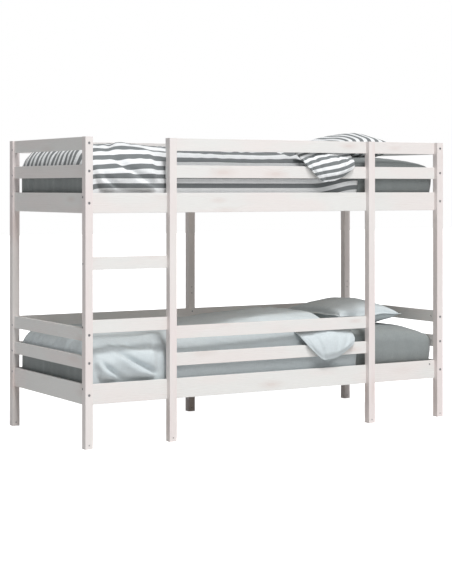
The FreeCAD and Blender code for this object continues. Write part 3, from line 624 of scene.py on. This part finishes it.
def stitch(name, paths, settings, cover_colour, slot, body=FIXED_BODY):
    """Stitches along one or more paths of points, closed where a path ends where it starts."""
    material = thread_material(f"{name}_thread", cover_colour)
    points, edges = [], []
    for path in paths:
        first = len(points)
        points.extend(path)
        edges += [(first + i, first + i + 1) for i in range(len(path) - 1)]
    mesh = bpy.data.meshes.new(name)
    mesh.from_pydata([tuple(map(float, p)) for p in points], edges, [])
    piece = bpy.data.objects.new(name, mesh)
    bpy.context.collection.objects.link(piece)
    run_geometry(piece, stitch_tree(), {
        "Pitch": settings.pitch, "Stitch": settings.stitch, "Thread": settings.thread,
        "Finish": material})
    piece.data.polygons.foreach_set("use_smooth", [True] * len(piece.data.polygons))
    dress(piece, material, body)


# ---------------------------------------------------------------- mattress shape
def soft_box(level):
    """Lowest and highest corner of a bed's mattress."""
    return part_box(f"mattress_{level}")


SIDE_TUCK = 0.018             # the front sides lie this far inside the mattress's full width


def settle(points, half):
    """How far a mattress's top lies below a flat one; the crest rises above it.

    The points are measured from the mattress's middle.
    """
    end_sag, front_sag, crest_rise = 0.022, 0.014, 0.007
    end = smooth_step(points[:, 0], 0.76, half[0])
    front = smooth_step(-points[:, 1], 0.16, half[1])
    above = smooth_step(points[:, 2], -half[2], half[2])
    return (end_sag * end ** 1.4 + front_sag * front - crest_rise) * above


def bulging_box(low, high, spacing, corner, edge, crushed_edge):
    """A mattress: a box with corners rounded in plan and edges rounded in profile.

    crushed_edge is the rounding under the duvet, edge the rounding past its right end. Gives
    points, faces, a flat map that keeps each side's own lengths, outward directions and the
    middle.
    """
    low, high = np.array(low), np.array(high)
    middle, half = (low + high) / 2, (high - low) / 2
    points, faces, flat = [], [], []
    for axis in range(3):
        u_axis, v_axis = [i for i in range(3) if i != axis]
        u = np.linspace(-1, 1, max(4, int(2 * half[u_axis] / spacing)) + 1)
        v = np.linspace(-1, 1, max(4, int(2 * half[v_axis] / spacing)) + 1)
        for way in (-1, 1):
            grid = np.zeros((len(u), len(v), 3))
            grid[..., axis] = way * half[axis]
            grid[..., u_axis] = u[:, None] * half[u_axis]
            grid[..., v_axis] = v[None, :] * half[v_axis]
            first = len(points)
            points.extend(grid.reshape(-1, 3))
            map_u, map_v = (1, 2) if axis == 0 else (0, 2) if axis == 1 else (0, 1)
            flat.extend(grid.reshape(-1, 3)[:, [map_u, map_v]])
            turned = (way > 0) == (axis != 1)
            for i in range(len(u) - 1):
                for j in range(len(v) - 1):
                    a = first + i * len(v) + j
                    quad = (a, a + len(v), a + len(v) + 1, a + 1)
                    faces.append(quad if turned else tuple(reversed(quad)))
    points, flat = np.array(points), np.array(flat)
    plan, sign = np.abs(points[:, :2]), np.sign(points[:, :2])
    rear_left = (points[:, 0] < 0) & (points[:, 1] > 0)      # pressed square into its corner
    round_corner = np.where(rear_left, 0.3 * corner, corner)[:, None]
    past = plan - (half[:2] - round_corner)
    depth = (half[:2] - plan).min(axis=1)                   # inwards from the nearest side
    in_corner = past.min(axis=1) > 0
    nearest = np.where(past[:, :1] > past[:, 1:], (1.0, 0.0), (0.0, 1.0))
    turn = np.maximum(past, 1e-9)
    turn = turn / np.linalg.norm(turn, axis=1)[:, None]
    normal = np.where(in_corner[:, None], turn, nearest)
    rounded = half[:2] - round_corner + turn * past.max(axis=1)[:, None]
    plan = np.where(in_corner[:, None], rounded, plan)
    past_duvet = smooth_step(points[:, 0], 0.40, 0.52)
    under_duvet = np.where(points[:, 2] < 0, corner, crushed_edge)
    edge = under_duvet + (edge - under_duvet) * past_duvet
    core_depth = np.maximum(depth, edge)
    core_z = np.clip(points[:, 2], edge - half[2], half[2] - edge)
    profile = np.stack([depth - core_depth, points[:, 2] - core_z], axis=1)
    profile /= np.maximum(np.linalg.norm(profile, axis=1), 1e-12)[:, None]
    inwards = core_depth + profile[:, 0] * edge - depth
    shaped = np.empty_like(points)
    shaped[:, :2] = (plan - normal * inwards[:, None]) * sign
    shaped[:, 2] = core_z + profile[:, 1] * edge
    way = np.column_stack([-normal * sign * profile[:, :1], profile[:, 1]])
    shaped[:, 2] -= settle(shaped, half)
    return shaped, faces, flat, way, middle


# ---------------------------------------------------------------- timber, metal and slats
class BUNKBED_OT_timber(bpy.types.Operator):
    """Give the posts, rails, rungs, ledgers and dowels their pine"""
    bl_idname = "bunkbed.timber"
    bl_label = "Timber"

    def execute(self, context):
        settings = context.scene.bunk_bed_timber
        washed = {along: timber(settings, along) for along in "XYZ"}
        bare = {along: timber(settings, along, washed=False) for along in "XY"}
        for name, node in NODES.items():
            if name.endswith("_screws"):
                continue
            if name.startswith("post_"):
                finish = washed["Z"]
            elif name.startswith("ledger_") or name == "dowels":
                finish = bare["X"]
            elif "_rail_" in name or "_guard_" in name or name.startswith("rung"):
                finish = washed["Y" if name.endswith(("left", "right")) else "X"]
            else:
                continue
            for slot in node.material_slots:
                slot.material = finish
        return {"FINISHED"}


class BUNKBED_OT_hardware(bpy.types.Operator):
    """Give the bolts, barrel nuts and screws their zinc plate"""
    bl_idname = "bunkbed.hardware"
    bl_label = "Bolts and screws"

    def execute(self, context):
        finish = plated_steel(context.scene.bunk_bed_hardware)
        for name in ("joint_bolts", "barrel_nuts", "frame_screws", "ledger_screws",
                     "slat_screws", "post_screws"):
            for slot in NODES[name].material_slots:
                slot.material = finish
        return {"FINISHED"}


class BUNKBED_OT_slats(bpy.types.Operator):
    """Lay the planed slats of both beds"""
    bl_idname = "bunkbed.slats"
    bl_label = "Slats"

    def execute(self, context):
        settings = context.scene.bunk_bed_slats
        finish = timber(context.scene.bunk_bed_timber, "Y", washed=False)
        finish.name = "bare_pine_slats"
        radius = settings.rounding
        for level in LEVELS:
            low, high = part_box(f"slats_{level}")
            width = settings.width
            corners = []
            for x, z, start in ((width - radius, high.z - radius, 0),
                                (radius, high.z - radius, 90),
                                (radius, low.z + radius, 180),
                                (width - radius, low.z + radius, 270)):
                for step in range(4):
                    angle = math.radians(start + 30 * step)
                    corners.append((low.x + x + radius * math.cos(angle),
                                    z + radius * math.sin(angle)))
            count = len(corners)
            ends = (low.y, low.y + radius, high.y - radius, high.y)
            points = []
            for y in ends:
                inset = 0.0 if low.y < y < high.y else radius * 0.5
                middle_x, middle_z = low.x + width / 2, (low.z + high.z) / 2
                for x, z in corners:
                    points.append((x + math.copysign(inset, middle_x - x), y,
                                   z + math.copysign(inset, middle_z - z)))
            faces = [tuple(range(count)), tuple(reversed(range(3 * count, 4 * count)))]
            for first in range(0, 3 * count, count):
                for i in range(count):
                    j = (i + 1) % count
                    faces.append((first + i, first + count + i, first + count + j, first + j))
            piece = new_piece(f"slat_set_{level}", points, faces, smooth=False)
            pitch = (high.x - low.x - width) / (settings.count - 1)
            run_geometry(piece, repeat_tree(),
                         {"Count": settings.count, "Pitch": pitch, "Finish": finish})
            dress(piece, finish, stands_for=[f"slats_{level}"])
        return {"FINISHED"}


# ---------------------------------------------------------------- mattresses
class BUNKBED_OT_mattresses(bpy.types.Operator):
    """Make both mattresses in their fitted sheets"""
    bl_idname = "bunkbed.mattresses"
    bl_label = "Mattresses"

    def execute(self, context):
        settings = context.scene.bunk_bed_bedding
        finish = cloth("fitted_sheet", settings, settings.sheet, brushed=True)
        for number, level in enumerate(LEVELS):
            low, high = soft_box(level)
            points, faces, flat, way, middle = bulging_box(
                low + Vector((0.002, SIDE_TUCK, 0.0)), high + Vector((0.007, 0.0, 0.0)),
                spacing=0.013, corner=0.022, edge=0.052, crushed_edge=0.105)
            side = 1.0 - np.abs(way[:, 2])                   # 1 on the sides, 0 on top and below
            gathers = ripples(points * (1.0, 1.0, 0.12), 31 + number, 14, 0.035, 0.16)
            loose = ripples(points * (1.0, 1.0, 0.5), 47 + number, 10, 0.12, 0.5)
            end = smooth_step(np.abs(points[:, 0]), 0.55, 0.95)
            tall = (high - low).z / 2
            low_down = smooth_step(-points[:, 2], 0.0, tall)
            move = side * (0.0016 * gathers * (0.4 + end) + 0.0022 * loose)
            # the sides are drawn in a little, and more so low down on the right half
            move -= side * (0.002 + 0.014 * low_down * (points[:, 0] > 0))
            # past the duvet the front side comes back out to the mattress's full width
            move += side * (way[:, 1] < 0) * SIDE_TUCK * smooth_step(points[:, 0], 0.5, 0.7)
            move += (1 - side) * (way[:, 2] > 0) * (0.0015 * loose + 0.0008 * gathers)
            points = points + way * move[:, None] + middle
            points[:, 2] = np.maximum(points[:, 2], low.z + 0.0004)
            piece = new_piece(f"mattress_sheet_{level}", points, faces, flat)
            merge_doubles(piece)
            dress(piece, finish, stands_for=[f"mattress_{level}"])
        return {"FINISHED"}


def merge_doubles(piece, distance=0.0004):
    """Join the grids of a mesh where they meet, keeping each side's flat map."""
    mesh = bmesh.new()
    mesh.from_mesh(piece.data)
    bmesh.ops.remove_doubles(mesh, verts=mesh.verts, dist=distance)
    bmesh.ops.recalc_face_normals(mesh, faces=mesh.faces)
    mesh.to_mesh(piece.data)
    mesh.free()


# ---------------------------------------------------------------- duvets
class Wrap:
    """A cloth laid over a mattress: turns flat points into places round its rounded edges."""

    def __init__(self, level):
        low, high = soft_box(level)
        skin = 0.0015
        self.middle = (np.array(low) + np.array(high)) / 2
        self.half = (np.array(high) - np.array(low)) / 2
        self.top = high.z + skin
        self.depth = 0.100                        # down, to where the sides hang straight
        self.round_left, self.round_front, self.round_rear = 0.100, 0.160, 0.060
        self.left = low.x - skin + self.round_left
        self.front = low.y + SIDE_TUCK - skin + self.round_front
        self.rear = high.y + skin - self.round_rear

    def arc(self, rounding):
        """Cloth used in turning down through a quarter of an ellipse."""
        return (rounding + self.depth) / 2 * math.pi / 2

    def place(self, flat):
        """Places and outward directions for flat points (along the bed, across it).

        Past 1 a point is on a straight side; the corners are nearly square in plan.
        """
        left = np.maximum(self.left - flat[:, 0], 0.0) / self.arc(self.round_left)
        front = np.maximum(self.front - flat[:, 1], 0.0) / self.arc(self.round_front)
        rear = np.maximum(flat[:, 1] - self.rear, 0.0) / self.arc(self.round_rear)
        past = (left ** 6 + front ** 6 + rear ** 6) ** (1 / 6)
        angle = np.minimum(past, 1.0) * math.pi / 2
        reach = np.sin(angle) / np.maximum(past, 1e-9)
        hanging = np.maximum(past - 1, 0.0) / np.maximum(past, 1e-9)
        fall = self.depth * (1 - np.cos(angle)) + hanging * np.sqrt(
            (left * self.arc(self.round_left)) ** 2 + (front * self.arc(self.round_front)) ** 2
            + (rear * self.arc(self.round_rear)) ** 2)
        x = np.maximum(flat[:, 0], self.left) - left * reach * self.round_left
        y = (np.clip(flat[:, 1], self.front, self.rear)
             + reach * (rear * self.round_rear - front * self.round_front))
        place = np.stack([x, y, self.top - fall], axis=1)
        place[:, 2] -= settle(place - self.middle, self.half)
        way = np.stack([-left * reach, (rear - front) * reach, np.cos(angle)], axis=1)
        way /= np.linalg.norm(way, axis=1)[:, None]
        return place, way, past


# Folds of each duvet on its flat cloth: start, end, width and height in metres. Across the
# cloth the crest starts to turn down at -0.22, and the top of the side rail is at -0.50.
DUVET_FOLDS = {
    "upper": [
        ((-0.86, -0.35), (-0.53, -0.56), 0.028, 0.026),
        ((-0.935, -0.42), (-0.76, -0.55), 0.022, 0.022),
        ((-0.99, -0.46), (-0.88, -0.56), 0.012, 0.010),
        ((0.02, -0.22), (0.24, -0.34), 0.014, 0.010),
        ((0.06, -0.18), (0.30, -0.32), 0.012, 0.010),
        ((0.16, -0.16), (0.38, -0.34), 0.014, 0.010),
    ],
    "lower": [
        ((-0.85, -0.36), (-0.54, -0.55), 0.020, 0.028),
        ((-0.935, -0.41), (-0.74, -0.56), 0.018, 0.023),
        ((-0.80, -0.33), (-0.60, -0.37), 0.022, 0.006),
        ((-0.10, 0.20), (0.34, 0.02), 0.010, 0.010),
        ((0.00, 0.10), (0.40, -0.10), 0.012, 0.010),
        ((0.02, -0.26), (0.24, -0.34), 0.016, 0.009),
    ],
}


class BUNKBED_OT_duvets(bpy.types.Operator):
    """Lay a duvet over each mattress, tucked in at the front, the left end and the rear"""
    bl_idname = "bunkbed.duvets"
    bl_label = "Duvets"

    def execute(self, context):
        settings = context.scene.bunk_bed_bedding
        covers = cottons(settings)
        for number, level in enumerate(LEVELS):
            piece = lay_duvet(level, 60 + number, settings)
            material, slot, _ = covers[level]
            dress(piece, material, stands_for=[f"duvet_{level}"])
        return {"FINISHED"}


def lay_duvet(level, seed, settings):
    """A duvet's closed shell, from its flat cloth: a runs along the bed and b across it."""
    wrap = Wrap(level)
    spacing = 0.0085
    front_drop, rear_drop = 0.150, 0.040                    # straight, below the arcs
    front_arc, rear_arc = wrap.arc(wrap.round_front), wrap.arc(wrap.round_rear)
    b_low = wrap.front - front_arc - front_drop
    b_high = wrap.rear + rear_arc + rear_drop
    a_low = wrap.left - wrap.arc(wrap.round_left)
    rows, columns = int((b_high - b_low) / spacing), int((0.46 - a_low) / spacing)
    b = np.linspace(b_low, b_high, rows)
    right = 0.425 + 0.105 * smooth_step(-b, 0.22, 0.42)     # the hem, further out at the front
    right += 0.006 * np.sin(b * 21.0 + seed)
    flat_a = a_low + np.linspace(0, 1, columns)[None, :] * (right - a_low)[:, None]
    flat_b = np.repeat(b[:, None], columns, axis=1)
    flat = np.stack([flat_a, flat_b], axis=2).reshape(-1, 2)
    along, across = flat.T

    # the front is drawn up towards the hanging corner
    lifted = flat.copy()
    down_front = smooth_step(wrap.front - across, front_arc * 0.4, front_arc * 1.2)
    lifted[:, 1] += 0.040 * down_front * smooth_step(along, 0.26, 0.52)
    base, way, past = wrap.place(lifted)

    # thickness of the filling: full on top, thin where it is tucked in, proud in the ladder bay
    on_top = 1 - smooth_step(past, 0.0, 1.0)
    if level == "upper":
        fill = settings.puff + 0.018 * np.exp(-((along + 0.70) / 0.20) ** 2)
    else:
        hump = smooth_step(along, -0.36, 0.22) * (1 - smooth_step(along, 0.33, 0.47))
        hump *= 1 - 0.45 * smooth_step(across, 0.0, 0.33)
        fill = settings.puff * 0.75 + 0.056 * hump
    tucked = 0.007
    thick = tucked + (fill - tucked) * on_top
    to_right_hem = np.repeat(right, columns) - along
    hem = np.minimum.reduce([along - a_low, to_right_hem, across - b_low, b_high - across])
    bay = (smooth_step(along, -0.985, -0.93) * (1 - smooth_step(along, -0.66, -0.615))
           * (across < 0))
    bay *= smooth_step(base[:, 2], wrap.top - 0.176, wrap.top - 0.14)
    thick += 0.020 * bay * (1 - on_top)

    # ripples and folds, only where the cloth is free
    shape = 0.004 * ripples(flat, seed, 10, 0.25, 0.7)
    shape += 0.0016 * ripples(flat, seed + 9, 14, 0.05, 0.16)
    shape *= np.clip(on_top + 0.7 * bay + 0.12, 0, 1)
    free = np.clip(on_top + bay, 0, 1)
    for start, end, width, height in DUVET_FOLDS[level]:
        shape += fold(flat, start, end, width, height, 1.3) * free
    draw = np.random.default_rng(seed)
    for _ in range(16):
        start = np.array([draw.uniform(-0.9, 0.3), draw.uniform(-0.34, 0.34)])
        angle = draw.uniform(-0.9, 0.9)
        run = draw.uniform(0.15, 0.42)
        end = start + run * np.array([math.cos(angle), math.sin(angle)])
        width, height = draw.uniform(0.010, 0.026), draw.uniform(0.003, 0.007)
        shape += fold(flat, start, end, width, height) * on_top
    gathers = ripples(flat * (0.35, 1.0), seed + 3, 10, 0.035, 0.12)
    shape += 0.0022 * gathers * smooth_step(wrap.left + 0.03 - along, 0.0, 0.10)
    least, most = 0.0035, 0.110 * on_top + (1 - on_top) * (0.0092 + 0.045 * bay)
    thick = np.minimum(np.maximum(thick + shape, least), most)
    thinned = 1 - np.clip(to_right_hem / 0.07, 0.0, 1.0) ** 0.5
    thick *= np.clip(hem / 0.012, 0.0, 1.0) ** 0.5 * (1 - on_top * thinned)

    cloth_map = flat.copy()
    cloth_map[:, 1] += 0.7 * np.maximum(across - wrap.rear, 0) + settings.stripe_shift
    outer = base + way * thick[:, None]
    cover = shell(f"duvet_cover_{level}", outer, base, cloth_map, rows, columns)
    merge_doubles(cover)
    return cover


# ---------------------------------------------------------------- duvet corners over the rails
# Lower edge of the hanging corner: distance along the bed and height above the mattress top.
CORNER_EDGE = [(0.158, 0.016), (0.170, -0.016), (0.194, -0.050), (0.253, -0.106),
               (0.278, -0.1225), (0.290, -0.1245), (0.306, -0.121), (0.339, -0.119),
               (0.372, -0.109), (0.405, -0.0925), (0.455, -0.062), (0.474, -0.046),
               (0.482, -0.018)]
CORNER_TIP = 0.288
# Its folds, on its own flat cloth: start, end, width and height.
CORNER_FOLDS = [((0.19, 0.05), (0.27, 0.20), 0.009, 0.006),
                ((0.24, 0.03), (0.31, 0.19), 0.012, 0.006),
                ((0.40, 0.04), (0.36, 0.16), 0.012, 0.007),
                ((0.46, 0.05), (0.41, 0.14), 0.010, 0.008),
                ((0.32, 0.03), (0.33, 0.12), 0.016, 0.004)]


class BUNKBED_OT_corners(bpy.types.Operator):
    """Hang each duvet's corner over the middle guard rail"""
    bl_idname = "bunkbed.corners"
    bl_label = "Duvet corners"

    def execute(self, context):
        settings = context.scene.bunk_bed_bedding
        stitches = context.scene.bunk_bed_stitches
        covers = cottons(settings, "_corner", pitch=settings.stripe_pitch * 0.68)
        for level in LEVELS:
            material, slot, colour = covers[level]
            piece, hems = hang_corner(level)
            dress(piece, material, stands_for=[f"duvet_{level}"])
            stitch(f"corner_stitches_{level}", hems, stitches, colour, slot)
        return {"FINISHED"}


def hang_corner(level):
    """The corner's closed shell and the two stitch lines along its left hem.

    drop is how much lower it hangs than CORNER_EDGE, crease how deep its folds are.
    """
    rail_low, rail_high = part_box(f"mid_guard_{level}_front")
    mattress_top = soft_box(level)[1].z
    drop, crease = (0.0, 0.6) if level == "upper" else (-0.010, 0.4)
    columns, rows = 76, 52
    edge = np.array(CORNER_EDGE)
    x = np.linspace(edge[0, 0], edge[-1, 0], columns)
    bottom = np.interp(x, edge[:, 0], edge[:, 1])
    bottom = np.convolve(np.pad(bottom, 1, mode="edge"), np.ones(3) / 3, mode="valid")
    bottom += mattress_top + drop
    # the path over the rail, from inside the bed to the hanging part: (y, z)
    face = rail_low.y
    start_z = rail_high.z + 0.052
    route = np.array([(face + 0.062, start_z + 0.012), (face + 0.036, start_z + 0.006),
                      (face + 0.016, rail_high.z + 0.040), (face - 0.002, rail_high.z + 0.024),
                      (face - 0.013, rail_high.z + 0.002), (face - 0.019, rail_high.z - 0.03),
                      (face - 0.027, rail_high.z - 0.12)])
    for _ in range(3):
        finer = np.empty((2 * len(route) - 2, 2))
        finer[0::2] = 0.75 * route[:-1] + 0.25 * route[1:]
        finer[1::2] = 0.25 * route[:-1] + 0.75 * route[1:]
        route = np.vstack([route[:1], finer, route[-1:]])
    steps = np.concatenate([[0], np.cumsum(np.linalg.norm(np.diff(route, axis=0), axis=1))])
    middle, flat = np.empty((rows, columns, 3)), np.empty((rows, columns, 2))
    for j in range(columns):
        falling = np.nonzero(route[:, 1] >= bottom[j])[0]
        total = np.interp(-bottom[j], -route[:, 1], steps) if len(falling) else steps[1]
        along = np.linspace(0, max(total, 0.02), rows)
        middle[:, j, 0] = x[j]
        middle[:, j, 1] = np.interp(along, steps, route[:, 0])
        middle[:, j, 2] = np.interp(along, steps, route[:, 1])
        flat[:, j, 0] = x[j]
        flat[:, j, 1] = along
    u = ((x - x[0]) / (x[-1] - x[0]))[None, :]
    q = np.linspace(0, 1, rows)[:, None]
    to_side = np.minimum(x - x[0], x[-1] - x)[None, :]
    lens = np.minimum(smooth_step(1 - q, 0.0, 0.20), np.clip(to_side / 0.03, 0, 1) ** 0.5)
    body = 0.16 + 0.84 * np.exp(-((u - 0.50 - 0.12 * q) / 0.27) ** 2)
    out = 0.019 * lens * body
    spread = flat.reshape(-1, 2)
    for start, end, width, height in CORNER_FOLDS:
        out += (fold(spread, start, end, width, height * crease).reshape(rows, columns)
                * np.clip(lens * 1.5, 0, 1))
    out = np.maximum(out, 0.0)
    flat[..., 1] += 0.010 * np.sin(u * 5.2 + 0.7) + 0.095 * u
    middle = middle.reshape(-1, 3)
    way = grid_normals(middle, rows, columns)
    if way[len(way) * 3 // 4, 1] > 0:
        way = -way
    thickness = (0.0022 + out.reshape(-1))[:, None]          # the seam's own, plus the filling
    most_inside = 0.0085                                     # before it meets the rail
    outer = middle + way * thickness
    inner = middle - way * np.minimum(thickness, most_inside)
    piece = shell(f"duvet_corner_{level}", outer, inner, flat.reshape(-1, 2), rows, columns)
    merge_doubles(piece)
    surface = (outer + way * 0.0003).reshape(rows, columns, 3)
    left = np.nonzero(x < CORNER_TIP)[0]
    return piece, [hem_line(surface[:, left], distance) for distance in (0.006, 0.010)]


def hem_line(surface, distance):
    """A line on a grid surface, at one distance inside its slanting last row."""
    line = []
    for j in range(2, surface.shape[1]):
        column = surface[:, j]
        steps = np.concatenate([[0], np.cumsum(np.linalg.norm(np.diff(column, axis=0), axis=1))])
        if steps[-1] < 0.06:
            continue
        at = steps[-1] - distance * 1.8
        line.append([np.interp(at, steps, column[:, k]) for k in range(3)])
    return line


# ---------------------------------------------------------------- pillows
class BUNKBED_OT_pillows(bpy.types.Operator):
    """Make a loose pillow for each bed"""
    bl_idname = "bunkbed.pillows"
    bl_label = "Pillows"

    def execute(self, context):
        settings = context.scene.bunk_bed_bedding
        stitches = context.scene.bunk_bed_stitches
        covers = cottons(settings, "_pillow", counted_along=0)
        for number, level in enumerate(LEVELS):
            material, slot, colour = covers[level]
            body = f"loose_pillow_{level}"
            piece, seam = stuff_pillow(level, 80 + number)
            dress(piece, material, body, [f"pillow_{level}"])
            stitch(f"pillow_stitches_{level}", [seam], stitches, colour, slot, body)
        return {"FINISHED"}


def stuff_pillow(level, seed):
    """A pillow swollen from two flat panels, its flange, and the stitch line inside the flange."""
    low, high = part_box(f"pillow_{level}")
    middle = (low + high) / 2
    half_x, half_y = (high.x - low.x) / 2, (high.y - low.y) / 2
    rows, columns = 63, 87
    ears, waist_x, waist_y = 0.004, 0.045, 0.035            # corners stand out, sides draw in
    plump, crown = 0.062, 1.08                              # crown is against the box's height
    u, v = np.meshgrid(np.linspace(-1, 1, rows), np.linspace(-1, 1, columns), indexing="ij")
    x = u * (half_x + ears) * (1 - waist_x * (1 - v ** 2))
    y = v * (half_y + ears) * (1 - waist_y * (1 - u ** 2))
    swell = plump * ((1 - u ** 2) * (1 - v ** 2)) ** 0.8 * (1 + 0.4 * u) + 0.0008
    flat = np.stack([u * half_x, v * half_y], axis=2).reshape(-1, 2)
    top = np.stack([x, y, swell], axis=2).reshape(-1, 3)
    bottom = top * (1, 1, -1)
    piece = shell(f"pillow_cover_{level}", top, bottom, flat, rows, columns)
    inflate(piece, frames=16, pressure=2.0, cap=0.022, stiffness=6.0)
    points = read_points(piece)
    tall = high.z - low.z
    points[:, 2] -= points[:, 2].min()
    points[:, 2] *= tall * crown / points[:, 2].max()
    points[:, 2] += 0.0025 * ripples(points[:, :2], seed, 8, 0.10, 0.3)
    floor = tall * 0.12
    sunk = floor + 0.12 * (points[:, 2] - floor)             # its underside is pressed flat
    points[:, 2] = np.where(points[:, 2] < floor, sunk, points[:, 2])
    points[:, 2] += low.z - points[:, 2].min() + 0.0003
    points[:, :2] += np.array(middle)[:2]
    write_points(piece, points)
    return hem_pillow(piece, points, flat, rows, columns)


def hem_pillow(piece, points, flat, rows, columns):
    """Put a flat flange round a swollen pillow: (the new piece, the seam's line)."""
    count = rows * columns
    order = rim_order(rows, columns)
    seam = (points[:count][order] + points[count:][order]) / 2
    ahead = np.roll(seam, -2, axis=0) - np.roll(seam, 2, axis=0)
    out = np.stack([ahead[:, 1], -ahead[:, 0], np.zeros(len(ahead))], axis=1)
    out /= np.linalg.norm(out, axis=1)[:, None]
    if out[0] @ (seam[0] - seam.mean(axis=0)) < 0:
        out = -out
    waves = np.sin(np.arange(len(seam)) * 0.21) + np.sin(np.arange(len(seam)) * 0.087 + 1.0)
    flange, wave_height = 0.013, 0.0012
    edge = seam + out * flange
    edge[:, 2] += wave_height * waves
    rise = np.array((0.0, 0.0, 0.0011))                     # half the flange's thickness
    old = [tuple(face.vertices) for face in piece.data.polygons]
    rim = set(order)
    inside = [face for face in old if not (
        all(v % count in rim for v in face) and min(face) < count <= max(face))]
    above, below, ring = 2 * count, 2 * count + len(order), len(order)
    faces = inside
    for i in range(ring):
        j = (i + 1) % ring
        faces.append((order[i], order[j], above + j, above + i))
        faces.append((above + i, above + j, below + j, below + i))
        faces.append((below + i, below + j, count + order[j], count + order[i]))
    name = piece.name
    bpy.data.objects.remove(piece)
    everything = np.vstack([points, edge + rise, edge - rise])
    made = new_piece(name, everything, faces, np.vstack([flat, flat, flat[order], flat[order]]))
    merge_doubles(made, 0.00001)
    stitch_line = seam + np.array((0.0, 0.0, 0.0020)) - out * 0.002
    return made, [*stitch_line, stitch_line[0]]


# ---------------------------------------------------------------- stage
class BUNKBED_OT_stage(bpy.types.Operator):
    """Set the pale floor, the soft lights and the camera"""
    bl_idname = "bunkbed.stage"
    bl_label = "Stage"

    def execute(self, context):
        settings = context.scene.bunk_bed_stage
        scene = context.scene
        scene.view_settings.view_transform = "Standard"
        reach, below = 30.0, -0.0004                       # just clear of the posts' feet
        corners = [(-reach, -reach, below), (reach, -reach, below),
                   (reach, reach, below), (-reach, reach, below)]
        floor = new_piece("floor", corners, [(0, 1, 2, 3)], smooth=False)
        floor.data.materials.append(floor_material(settings))

        world = bpy.data.worlds.new("studio")
        scene.world = world
        world.use_nodes = True
        tree = world.node_tree
        tree.nodes.clear()
        seen = add_node(tree, "ShaderNodeBackground", {"Color": (1, 1, 1, 1), "Strength": 1.0})
        given = add_node(tree, "ShaderNodeBackground",
                         {"Color": (0.97, 0.985, 1.0, 1), "Strength": settings.ambient})
        mix = add_node(tree, "ShaderNodeMixShader", {
            0: add_node(tree, "ShaderNodeLightPath").outputs["Is Camera Ray"],
            1: given.outputs[0], 2: seen.outputs[0]})
        add_node(tree, "ShaderNodeOutputWorld", {0: mix.outputs[0]})

        key = bpy.data.lights.new("key", "SUN")
        key.energy = settings.key
        key.angle = math.radians(12.0)
        hang_light("key", key, Vector((-0.2, -2.4, 5.0)), Vector((0, 0, 0)))
        fill = bpy.data.lights.new("front", "AREA")
        fill.shape = "SQUARE"
        fill.size = 4.5
        fill.energy = settings.fill
        hang_light("front", fill, Vector((-0.3, -6.0, 5.4)), Vector((0.0, 0.0, 0.6)))

        # level, just above the upper side rails; the shift looks down without tipping it
        camera = bpy.data.cameras.new("camera")
        camera.lens = 97.67
        camera.sensor_width = 36.0
        camera.shift_x, camera.shift_y = -0.0378, -0.1782
        camera.clip_end = 100.0
        holder = bpy.data.objects.new("camera", camera)
        holder.location = (-4.132, -6.993, 1.193)
        holder.rotation_euler = (math.radians(90.0), 0.0, math.radians(-31.215))
        context.collection.objects.link(holder)
        scene.camera = holder
        return {"FINISHED"}


def hang_light(name, light, place, target):
    holder = bpy.data.objects.new(name, light)
    holder.location = place
    holder.rotation_euler = (target - place).to_track_quat("-Z", "Y").to_euler()
    bpy.context.collection.objects.link(holder)


def floor_material(settings):
    material, tree, shader = new_material("pale_floor")
    place = add_node(tree, "ShaderNodeTexCoord").outputs["Object"]
    cloud = noise(tree, place, 1.5, 3.0)
    tree.links.new(blend_colours(tree, cloud, settings.floor, [c * 0.985 for c in settings.floor]),
                   shader.inputs["Base Color"])
    shader.inputs["Roughness"].default_value = 0.9
    shader.inputs["Specular IOR Level"].default_value = 0.1
    glow = add_node(tree, "ShaderNodeEmission", {"Color": (1, 1, 1, 1), "Strength": 0.98})
    lit = add_node(tree, "ShaderNodeAddShader", {0: shader.outputs[0], 1: glow.outputs[0]})
    mix = add_node(tree, "ShaderNodeMixShader", {
        0: add_node(tree, "ShaderNodeLightPath").outputs["Is Camera Ray"],
        1: shader.outputs[0], 2: lit.outputs[0]})
    tree.links.new(mix.outputs[0], tree.nodes["Material Output"].inputs["Surface"])
    set_colour(material, settings.floor)
    return material


# ---------------------------------------------------------------- panel and run
PIECES = (BUNKBED_OT_timber, BUNKBED_OT_hardware, BUNKBED_OT_slats, BUNKBED_OT_mattresses,
          BUNKBED_OT_duvets, BUNKBED_OT_corners, BUNKBED_OT_pillows, BUNKBED_OT_stage)
SETTINGS = {"bunk_bed_timber": TimberSettings, "bunk_bed_hardware": HardwareSettings,
            "bunk_bed_bedding": BeddingSettings, "bunk_bed_slats": SlatSettings,
            "bunk_bed_stitches": StitchSettings, "bunk_bed_stage": StageSettings}


class BUNKBED_PT_panel(bpy.types.Panel):
    """Lists the bed's pieces and their settings"""
    bl_idname = "BUNKBED_PT_panel"
    bl_label = "Bunk bed"
    bl_space_type = "VIEW_3D"
    bl_region_type = "UI"
    bl_category = "Bunk bed"

    def draw(self, context):
        for piece in PIECES:
            self.layout.operator(piece.bl_idname)
        for label, kind in SETTINGS.items():
            box = self.layout.box()
            for setting in kind.__annotations__:
                box.prop(getattr(context.scene, label), setting)


def register():
    for kind in (*SETTINGS.values(), *PIECES, BUNKBED_PT_panel):
        bpy.utils.register_class(kind)
    for label, kind in SETTINGS.items():
        setattr(bpy.types.Scene, label, PointerProperty(type=kind))


def unregister():
    for label in SETTINGS:
        delattr(bpy.types.Scene, label)
    for kind in reversed((*SETTINGS.values(), *PIECES, BUNKBED_PT_panel)):
        bpy.utils.unregister_class(kind)


def main():
    register()
    for piece in PIECES:
        group, name = piece.bl_idname.split(".")
        getattr(getattr(bpy.ops, group), name)()


if __name__ == "__main__":
    main()
